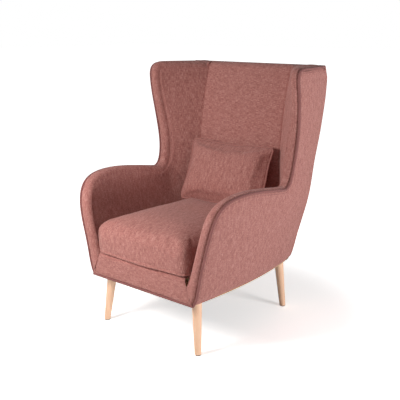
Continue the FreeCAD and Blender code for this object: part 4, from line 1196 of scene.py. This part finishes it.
# %% Cushion plan
def cushion_ring(height, inset):
    """Plan of the cushion at one height: bowed front, soft corners, nearly straight sides."""
    front, rear = CUSHION_FRONT + inset, CUSHION_REAR - inset
    half_front, half_rear = CUSHION_HALF_FRONT - inset, CUSHION_HALF_REAR - inset
    edge_x, rear_x = half_front - CUSHION_CORNER, half_rear - CUSHION_REAR_CORNER
    corner_depth = front + CUSHION_BOW / 2
    points = []
    for k in range(FRONT_STEPS + 1):
        x = -edge_x + 2 * edge_x * k / FRONT_STEPS
        points.append((x, front + CUSHION_BOW / 2 * (x / edge_x) ** 2))
    start, knee = (edge_x, corner_depth), (half_front, corner_depth)
    end = (half_front, front + CUSHION_BOW + CUSHION_CORNER)
    for k in range(1, CORNER_STEPS):
        t = k / CORNER_STEPS
        u = 1 - t
        points.append([u * u * s + 2 * u * t * m + t * t * e for s, m, e in zip(start, knee, end)])
    straight = rear - CUSHION_REAR_CORNER - end[1]
    for k in range(SIDE_RUN_STEPS + 1):
        t = k / SIDE_RUN_STEPS
        x = half_front + (half_rear - half_front) * t + CUSHION_SIDE_BOW * 4 * t * (1 - t)
        points.append((x, end[1] + straight * t))
    for k in range(1, REAR_CORNER_STEPS + 1):
        turn = math.pi / 2 * k / REAR_CORNER_STEPS
        x = half_rear - CUSHION_REAR_CORNER * (1 - math.cos(turn))
        points.append((x, rear - CUSHION_REAR_CORNER * (1 - math.sin(turn))))
    right = points[FRONT_STEPS + 1 : -1]
    for k in range(1, REAR_RUN_STEPS + 1):
        points.append((rear_x - 2 * rear_x * k / REAR_RUN_STEPS * 0.999, rear))
    points += [(-x, d) for x, d in reversed(right)]
    ring = []
    for x, d in points:
        wider = 1 + NOSE_SHARE * clamp((NOSE_DEPTH - d) / NOSE_LENGTH)
        ring.append(place(x * wider, d, height))
    return ring


print("cushion plan:", len(cushion_ring(CUSHION_EDGE, 0)), "points")


# %% Cushion levels
def cushion_levels():
    """Heights and insets from the bottom over both rolled edges to the crown."""
    levels = []
    for angle in (0, 25, 50, 75, 90):
        turn = math.radians(angle)
        height = CUSHION_LOW + UNDER_ROUND * (1 - math.cos(turn))
        levels.append((height, UNDER_ROUND * (1 - math.sin(turn))))
    for angle in (0, 22, 45, 67):
        turn = math.radians(angle)
        height = CUSHION_EDGE - TOP_ROUND * (1 - math.sin(turn))
        levels.append((height, TOP_ROUND * (1 - math.cos(turn))))
    for inward, upward in CROWN_SHARES:
        levels.append((CUSHION_EDGE + upward * CUSHION_CROWN, TOP_ROUND + inward * CROWN_SPREAD))
    return levels


print("cushion:", len(cushion_levels()), "levels")


# %% Cushion form
def stacked(name, rings):
    """A closed form through rings of points, capped at both ends."""
    width = len(rings[0])
    points = [p for ring in rings for p in ring]
    faces = []
    for i in range(len(rings) - 1):
        for j in range(width):
            a, b = i * width + j, i * width + (j + 1) % width
            faces.append((a, b, b + width, a + width))
    faces.append(tuple(reversed(range(width))))
    last = (len(rings) - 1) * width
    faces.append(tuple(range(last, last + width)))
    return make_object(name, points, faces)


cushion = stacked("seat_cushion_cloth", [cushion_ring(z, inset + 4) for z, inset in cushion_levels()])
face_out(cushion, (0, -3, 3))
print("cushion form:", len(cushion.data.polygons), "faces")

# %% Seat cushion
CUSHION_REST = (DECK + 0.6) / 1000  # metres: its flat underside
CUSHION_AIR, CUSHION_CAP = 4.0, 0.012  # pressure of the filling, and how far it may push
UNDER_HEIGHT, UNDER_HOLD = 0.318, 0.15  # the underside's points, and their share of that


def rest_on_deck():
    for vertex in cushion.data.vertices:
        vertex.co.z = max(vertex.co.z, CUSHION_REST)


def cushion_hold(point):
    """The underside lies on the deck, so it moves less than the rest."""
    return UNDER_HOLD if point.z < UNDER_HEIGHT else 1.0


even_mesh(cushion, 0.0065)
inflate(cushion, CUSHION_AIR, CUSHION_CAP, cushion_hold)
rest_on_deck()
subdivide(cushion)
soften(cushion, 0.005, 6)
rest_on_deck()
print("seat cushion:", len(cushion.data.polygons), "faces")

# %% [markdown]
# ## The lumbar pillow
#
# A knife-edge pillow: two panels sewn together round the edge, with piping in the seam. Its
# sides pull in a little between the corners. It leans on the inside back and stands on the
# cushion. The piping is laid along the filled pillow's own edge, because filling a pillow
# pulls its seam in.

# %% Pillow frame
RAKE = math.radians(19.7)
PILLOW_UP = Vector((0, math.sin(RAKE), math.cos(RAKE)))
PILLOW_OUT = Vector((0, math.cos(RAKE), -math.sin(RAKE)))
PILLOW_FOOT = place(0, 466, 452.6)
PILLOW_HALF, PILLOW_RISE = 208.0, 262.0
PILLOW_CORNER = 16.0
DRAWN_SIDE, DRAWN_TOP = 7.0, 8.0  # how far the edges are drawn in at their middle
EDGE_STEPS, TURN_STEPS = 20, 6  # points along a side and round a corner


def pillow_point(x, y, out):
    """A point from the pillow's middle: across, up along its lean and out of its seam's plane."""
    up = (y + PILLOW_RISE / 2) / 1000
    return PILLOW_FOOT + Vector((x / 1000, 0, 0)) + PILLOW_UP * up + PILLOW_OUT * (out / 1000)


def pillow_edge():
    """The seam's outline: a rectangle with sides drawn in between rounded corners."""
    middle_x, middle_y = PILLOW_HALF - PILLOW_CORNER, PILLOW_RISE / 2 - PILLOW_CORNER
    arcs = []
    for sx, sy, turned in ((1, -1, True), (1, 1, False), (-1, 1, True), (-1, -1, False)):
        arc = []
        for k in range(TURN_STEPS + 1):
            turn = math.pi / 2 * k / TURN_STEPS
            x = sx * (middle_x + PILLOW_CORNER * math.cos(turn))
            arc.append((x, sy * (middle_y + PILLOW_CORNER * math.sin(turn))))
        arcs.append(arc[::-1] if turned else arc)
    outline = []
    for arc, after in zip(arcs, arcs[1:] + arcs[:1]):
        outline += arc
        (x0, y0), (x1, y1) = arc[-1], after[0]
        for k in range(1, EDGE_STEPS):
            t = k / EDGE_STEPS
            x, y = x0 + (x1 - x0) * t, y0 + (y1 - y0) * t
            draw = 4 * t * (1 - t)
            if abs(x0 - x1) < 1:
                x -= math.copysign(DRAWN_SIDE * draw, x)
            else:
                y -= math.copysign(DRAWN_TOP * draw, y)
            outline.append((x, y))
    return outline


PILLOW_EDGE = pillow_edge()
print("pillow seam:", len(PILLOW_EDGE), "points")

# %% Pillow
PILLOW_BULGE = 43.0
WIDER, TALLER = 1.025, 1.035  # for the cloth that the filling takes up
SIDE_INSET = 1.15  # the rings draw in a little more at the sides
PILLOW_AIR, PILLOW_CAP = 5.0, 0.010  # pressure of the filling, and how far it may push
SEAM_HOLD, SEAM_REACH = 0.12, 0.022  # how little the seam moves, and where the cloth is free
PILLOW_SHARES = (  # size of a ring, then how far it stands out
    (1.0, 0.0),
    (0.985, 0.12),
    (0.95, 0.27),
    (0.89, 0.42),
    (0.80, 0.58),
    (0.66, 0.75),
    (0.48, 0.89),
    (0.28, 0.97),
    (0.1, 1.0),
)


def pillow_rings():
    sides = [(share, -bulge) for share, bulge in reversed(PILLOW_SHARES)]
    sides += list(PILLOW_SHARES[1:])
    rings = []
    for share, bulge in sides:
        inset = (1 - share) * PILLOW_RISE / 2
        wide = (PILLOW_HALF - inset * SIDE_INSET) / PILLOW_HALF * WIDER
        tall = share * TALLER
        rings.append([pillow_point(x * wide, y * tall, bulge * PILLOW_BULGE) for x, y in PILLOW_EDGE])
    return rings


def pillow_hold(point):
    """The seam hardly moves, and the cloth is free 22 mm out of its plane."""
    out = abs((point - PILLOW_FOOT).dot(PILLOW_OUT))
    return SEAM_HOLD + (1 - SEAM_HOLD) * min(out / SEAM_REACH, 1)


pillow = stacked("lumbar_pillow_cloth", pillow_rings())
face_out(pillow, (0, -3, 0.6))
even_mesh(pillow, 0.0055)
inflate(pillow, PILLOW_AIR, PILLOW_CAP, pillow_hold)
subdivide(pillow)
soften(pillow, 0.005, 9)
print("pillow:", len(pillow.data.polygons), "faces")

# %% Pillow piping
PILLOW_PIPING_RADIUS, PIPING_STAND = 0.0034, 0.003  # metres, the second out of the pillow's edge
pillow_line = []
for x, y in PILLOW_EDGE:
    wide = pillow_point(x * 1.1, y * 1.1, 0)
    near = pillow.closest_point_on_mesh(wide)[1]
    pillow_line.append(near + (wide - near).normalized() * PIPING_STAND)
pillow_cord = tube_curve("lumbar_pillow_cord", pillow_line, PILLOW_PIPING_RADIUS, True)
print("pillow piping:", len(pillow_line), "points")

# %% [markdown]
# ## Wood, plastic and the hidden parts
#
# The legs are pale beech with a fine straight grain along each leg and a satin lacquer. The
# hidden frame, boards, foam and straps get plainer finishes of their own kind. One noise,
# stretched along the grain, gives the streaks, and a finer one adds the pores.


# %% Wood
def wood(name, light, dark, scale, roughness, coat):
    """Timber or board. The scale counts streaks to the metre along each axis."""
    material, tree, surface = shader(name, roughness)
    place_at = node(tree, "TexCoord").outputs["Object"]
    grain = stretched_noise(tree, place_at, scale, 4.0, 0.6)
    pores = stretched_noise(tree, place_at, tuple(v * 5 for v in scale))
    total = math_node(tree, "MULTIPLY_ADD", pores, 0.35, grain)
    stops = ((0.42, dark), (0.66, light), (0.86, mix_colour(light, dark, 0.35)))
    tree.links.new(ramp(tree, total, stops), surface.inputs["Base Color"])
    surface.inputs["Coat Weight"].default_value = coat
    surface.inputs["Coat Roughness"].default_value = 0.3
    bump(tree, surface, total, 0.0006, 0.35)
    return material


leg_wood = wood("pale_beech", srgb(252, 208, 174), srgb(234, 178, 142), (150, 150, 7), 0.42, 0.25)
timber = wood("frame_timber", srgb(206, 168, 124), srgb(170, 128, 86), (9, 60, 60), 0.75, 0.0)
plywood = wood("bent_plywood", srgb(204, 170, 130), srgb(176, 140, 98), (60, 6, 60), 0.7, 0.0)
board = wood("pressed_board", srgb(150, 126, 96), srgb(122, 100, 74), (90, 90, 90), 0.85, 0.0)
print("woods made")


# %% Plain finishes
def speckled(name, low, high, grains, roughness, depth, metallic=0.0):
    """A plain finish with fine grains, so many to the metre, and a relief of that depth."""
    material, tree, surface = shader(name, roughness)
    place_at = node(tree, "TexCoord").outputs["Object"]
    grain = stretched_noise(tree, place_at, (grains, grains, grains), 3.0, 0.55)
    tree.links.new(ramp(tree, grain, ((0.35, low), (0.65, high))), surface.inputs["Base Color"])
    surface.inputs["Metallic"].default_value = metallic
    bump(tree, surface, grain, depth, 0.5)
    return material


def plain_weave(name, tones, thread, depth):
    """A plain cloth whose three tones run from dark to light."""
    return slub_weave(name, *(srgb(*tone) for tone in tones), thread, depth)


foam = speckled("pale_foam", srgb(226, 214, 170), srgb(240, 230, 196), 500, 0.95, 0.0008)
steel = speckled("zinc_plated_steel", srgb(186, 188, 192), srgb(206, 208, 212), 220, 0.32, 0.0001, 1.0)
nickel = speckled("dull_nickel", srgb(176, 170, 160), srgb(198, 192, 182), 400, 0.35, 0.0001, 1.0)
plastic = speckled("dark_glide_plastic", srgb(40, 36, 33), srgb(54, 49, 45), 300, 0.55, 0.0002)
thread = speckled("mauve_thread", srgb(104, 60, 58), srgb(128, 78, 76), 900, 0.8, 0.0001)
DECK_TONES = ((112, 70, 68), (134, 86, 82), (150, 100, 94))
DUST_TONES = ((34, 34, 36), (44, 44, 47), (56, 56, 60))
STRAP_TONES = ((70, 66, 62), (92, 86, 80), (120, 112, 102))
TAPE_TONES = ((104, 60, 58), (124, 74, 72), (140, 88, 84))
deck_weave = plain_weave("deck_weave", DECK_TONES, 0.0010, 0.0003)
dust_weave = plain_weave("black_dust_weave", DUST_TONES, 0.0010, 0.0002)
strap_weave = plain_weave("webbing_weave", STRAP_TONES, 0.0024, 0.0004)
tape_weave = plain_weave("zip_tape_weave", TAPE_TONES, 0.0008, 0.0002)
print("plain finishes made")

# %% [markdown]
# ## Fitting the pieces to the model
#
# Each cloth piece takes the place of the solids that it stands for, rides on their body and
# takes its material. The left-hand pieces are mirrored copies of the right-hand ones. A padded
# piece stands for a solid cover with its filling.


# %% Fit
def fit(item, body, slot, material, replaced=(), fill=None, turned=False):
    item.data.materials.clear()
    item.data.materials.append(material)
    if not item.data.uv_layers:  # a mirrored copy has its weave already
        lay_weave(item, turned)
    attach(item, body)
    if replaced:
        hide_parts(*replaced)


COVER = ("chair_frame", "cover_fabric", rose_cloth)
CORD = ("chair_frame", "piping_fabric", piping_shaded_cloth)
for side in ("right", "left"):
    panel, inside, cord, sewing = side_panel, lining, side_cord, side_stitches
    if side == "left":
        panel = mirror(side_panel, "side_panel_left")
        inside = mirror(lining, "arm_wing_lining_left")
        cord = mirror(side_cord, "side_piping_left_cord")
        sewing = mirror(side_stitches, "side_topstitch_left")
    covers = [f"inside_arm_cover_{side}", f"inside_wing_cover_{side}", f"side_foam_{side}"]
    fit(panel, *COVER, [f"outside_side_cover_{side}"])
    fit(inside, *COVER, covers, 0.95)
    fit(cord, *CORD, [f"side_piping_{side}"])
    fit(sewing, "chair_frame", "piping_fabric", thread)
fit(back_panel, *COVER, ["inside_back_cover", "inside_back_foam"], 0.95, True)
fit(outside_back, *COVER, ["outside_back_cover"])
fit(border, *COVER, ["front_border_cover", "front_border_foam"], 0.95, True)
fit(top_cord, *CORD, ["top_piping"])
fit(front_cord, *CORD, ["front_piping"])
print("covers and piping fitted")

# %% Loose pieces and cloths
CUSHION_PIECES = ["seat_cushion_cover", "seat_cushion_foam"]
PILLOW_PIECES = ["lumbar_pillow_cover", "lumbar_pillow_fill"]
fit(deck_cloth_piece, "chair_frame", "deck_cloth", deck_weave, ["seat_deck_cover"])
fit(dust_cloth_piece, "chair_frame", "dust_cloth", dust_weave, ["dust_cover"])
fit(cushion, "seat_cushion", "cover_fabric", rose_cloth, CUSHION_PIECES, 0.85)
fit(pillow, "lumbar_pillow", "cover_fabric", rose_cloth, PILLOW_PIECES, 0.8)
fit(pillow_cord, "lumbar_pillow", "cover_fabric", rose_cloth, ["lumbar_pillow_piping"])
print("loose pieces fitted")

# %% Finishes of the hard pieces
FINISHES = (  # a word in a piece's name, in this order, then its finish
    ("leg_plates", steel),
    ("hanger_bolts", steel),
    ("leg_", leg_wood),
    ("glides", plastic),
    ("side_board", plywood),
    ("back_board", board),
    ("_foam", foam),
    ("deck_pad", foam),
    ("webbing", strap_weave),
    ("zip_slider", nickel),
    ("seat_zip", tape_weave),
    ("rail", timber),
    ("post", timber),
    ("corner_block", timber),
)
for name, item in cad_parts.items():
    material = next((finish for word, finish in FINISHES if word in name), None)
    if material:
        for slot_place in item.material_slots:
            slot_place.material = material
print("hard pieces finished")

# %% [markdown]
# ## Floor, light and camera
#
# The chair stands on a plain white floor. To the camera, the floor is lifted to white a step
# away from the chair and keeps the soft shadow beneath it, while its light on the chair stays
# that of a pale floor. A small soft lamp in front picks out the cushion's edge, a low lamp
# from the right fills the side panel, a weak one hangs above, and a dim sky fills the rest,
# so that the hollow between the wings stays darker. The camera stands at the photograph's
# place: front right, a little above the arms.

# %% Floor
SKY, FLOOR_LIFT, FLOOR_GAIN = 0.12, 0.42, 1.8  # strengths of the sky and of the floor as seen
SHADOW_REACH, SHADOW_END = 0.55, 1.1  # metres from the middle: where the lift starts and is full
FLOOR_HALF = 30
floor_corners = [(x * FLOOR_HALF, y * FLOOR_HALF, 0) for x, y in ((-1, -1), (1, -1), (1, 1), (-1, 1))]
floor = make_object("floor", floor_corners, [(0, 1, 2, 3)])
print("floor laid")


# %% Seen white
def seen_directly(tree):
    """1 for what the camera sees, also by way of a mirror or a clear piece, else 0."""
    paths = node(tree, "LightPath")
    seen = math_node(tree, "MAXIMUM", paths.outputs["Is Camera Ray"], paths.outputs["Is Glossy Ray"])
    return math_node(tree, "MAXIMUM", seen, paths.outputs["Is Transmission Ray"])


def choose(tree, unseen, seen, target):
    """One shader for what is seen directly, another for the light that it gives."""
    blend = node(tree, "MixShader")
    tree.links.new(seen_directly(tree), blend.inputs[0])
    tree.links.new(unseen.outputs[0], blend.inputs[1])
    tree.links.new(seen.outputs[0], blend.inputs[2])
    tree.links.new(blend.outputs[0], target.inputs[0])


print("white is for the camera only")


# %% Floor finish
def white_floor():
    """A floor that is seen as white, more so away from the chair, and takes its shadow."""
    material, tree, surface = shader("white_floor", 0.9)
    surface.inputs["Base Color"].default_value = (0.8, 0.8, 0.8, 1)
    bright = node(tree, "BsdfDiffuse", in_Color=(FLOOR_GAIN, FLOOR_GAIN, FLOOR_GAIN, 1))
    distance = node(tree, "VectorMath", operation="LENGTH")
    tree.links.new(node(tree, "TexCoord").outputs["Object"], distance.inputs[0])
    spread = node(tree, "MapRange", interpolation_type="SMOOTHSTEP")
    for slot, value in enumerate((SHADOW_REACH, SHADOW_END, FLOOR_LIFT, 1.0), 1):
        spread.inputs[slot].default_value = value
    tree.links.new(distance.outputs["Value"], spread.inputs[0])
    lift = node(tree, "Emission", in_Color=(1, 1, 1, 1))
    tree.links.new(spread.outputs[0], lift.inputs["Strength"])
    both = node(tree, "AddShader")
    tree.links.new(bright.outputs[0], both.inputs[0])
    tree.links.new(lift.outputs[0], both.inputs[1])
    choose(tree, surface, both, tree.nodes["Material Output"])
    return material


floor.data.materials.append(white_floor())
print("floor finished")

# %% World
world = bpy.data.worlds.new("studio")
scene.world = world
world.use_nodes = True
world.node_tree.nodes.clear()
sky = node(world.node_tree, "Background", in_Color=(1, 0.985, 0.97, 1), in_Strength=SKY)
backdrop = node(world.node_tree, "Background", in_Color=(1, 1, 1, 1), in_Strength=1.0)
choose(world.node_tree, sky, backdrop, node(world.node_tree, "OutputWorld"))
print("world set")


# %% Lamps
def lamp(name, at, target, power, size, colour=(1, 1, 1)):
    """A square lamp: place and target in metres, power in watts."""
    data = bpy.data.lights.new(name, "AREA")
    data.energy = power
    data.size = size
    data.color = colour
    item = show(name, data)
    item.location = at
    way = Vector(target) - Vector(at)
    item.rotation_euler = way.to_track_quat("-Z", "Y").to_euler()


lamp("key_front", (-0.3, -1.35, 1.1), (0, -0.2, 0.4), 17, 0.5, (1, 0.97, 0.94))
lamp("fill_right", (3.2, 0.4, 0.62), (0, 0, 0.6), 60, 1.0)
lamp("top", (-0.6, -0.4, 3.4), (0, 0, 0.5), 8, 2.0)
print("lamps placed")

# %% Camera
LENS = 62.42  # millimetres, for a 36 mm wide picture
EYE = (1.78055, -2.09521, 1.18174)
LOOK_DOWN, LOOK_LEFT = 0.24648, 0.70783  # radians, from level and from straight ahead
eye = bpy.data.cameras.new("photo_view")
eye.sensor_width = 36
eye.lens = LENS
camera = show("photo_view", eye)
camera.location = EYE
camera.rotation_euler = (math.pi / 2 - LOOK_DOWN, 0, LOOK_LEFT)
scene.camera = camera
print("camera placed")
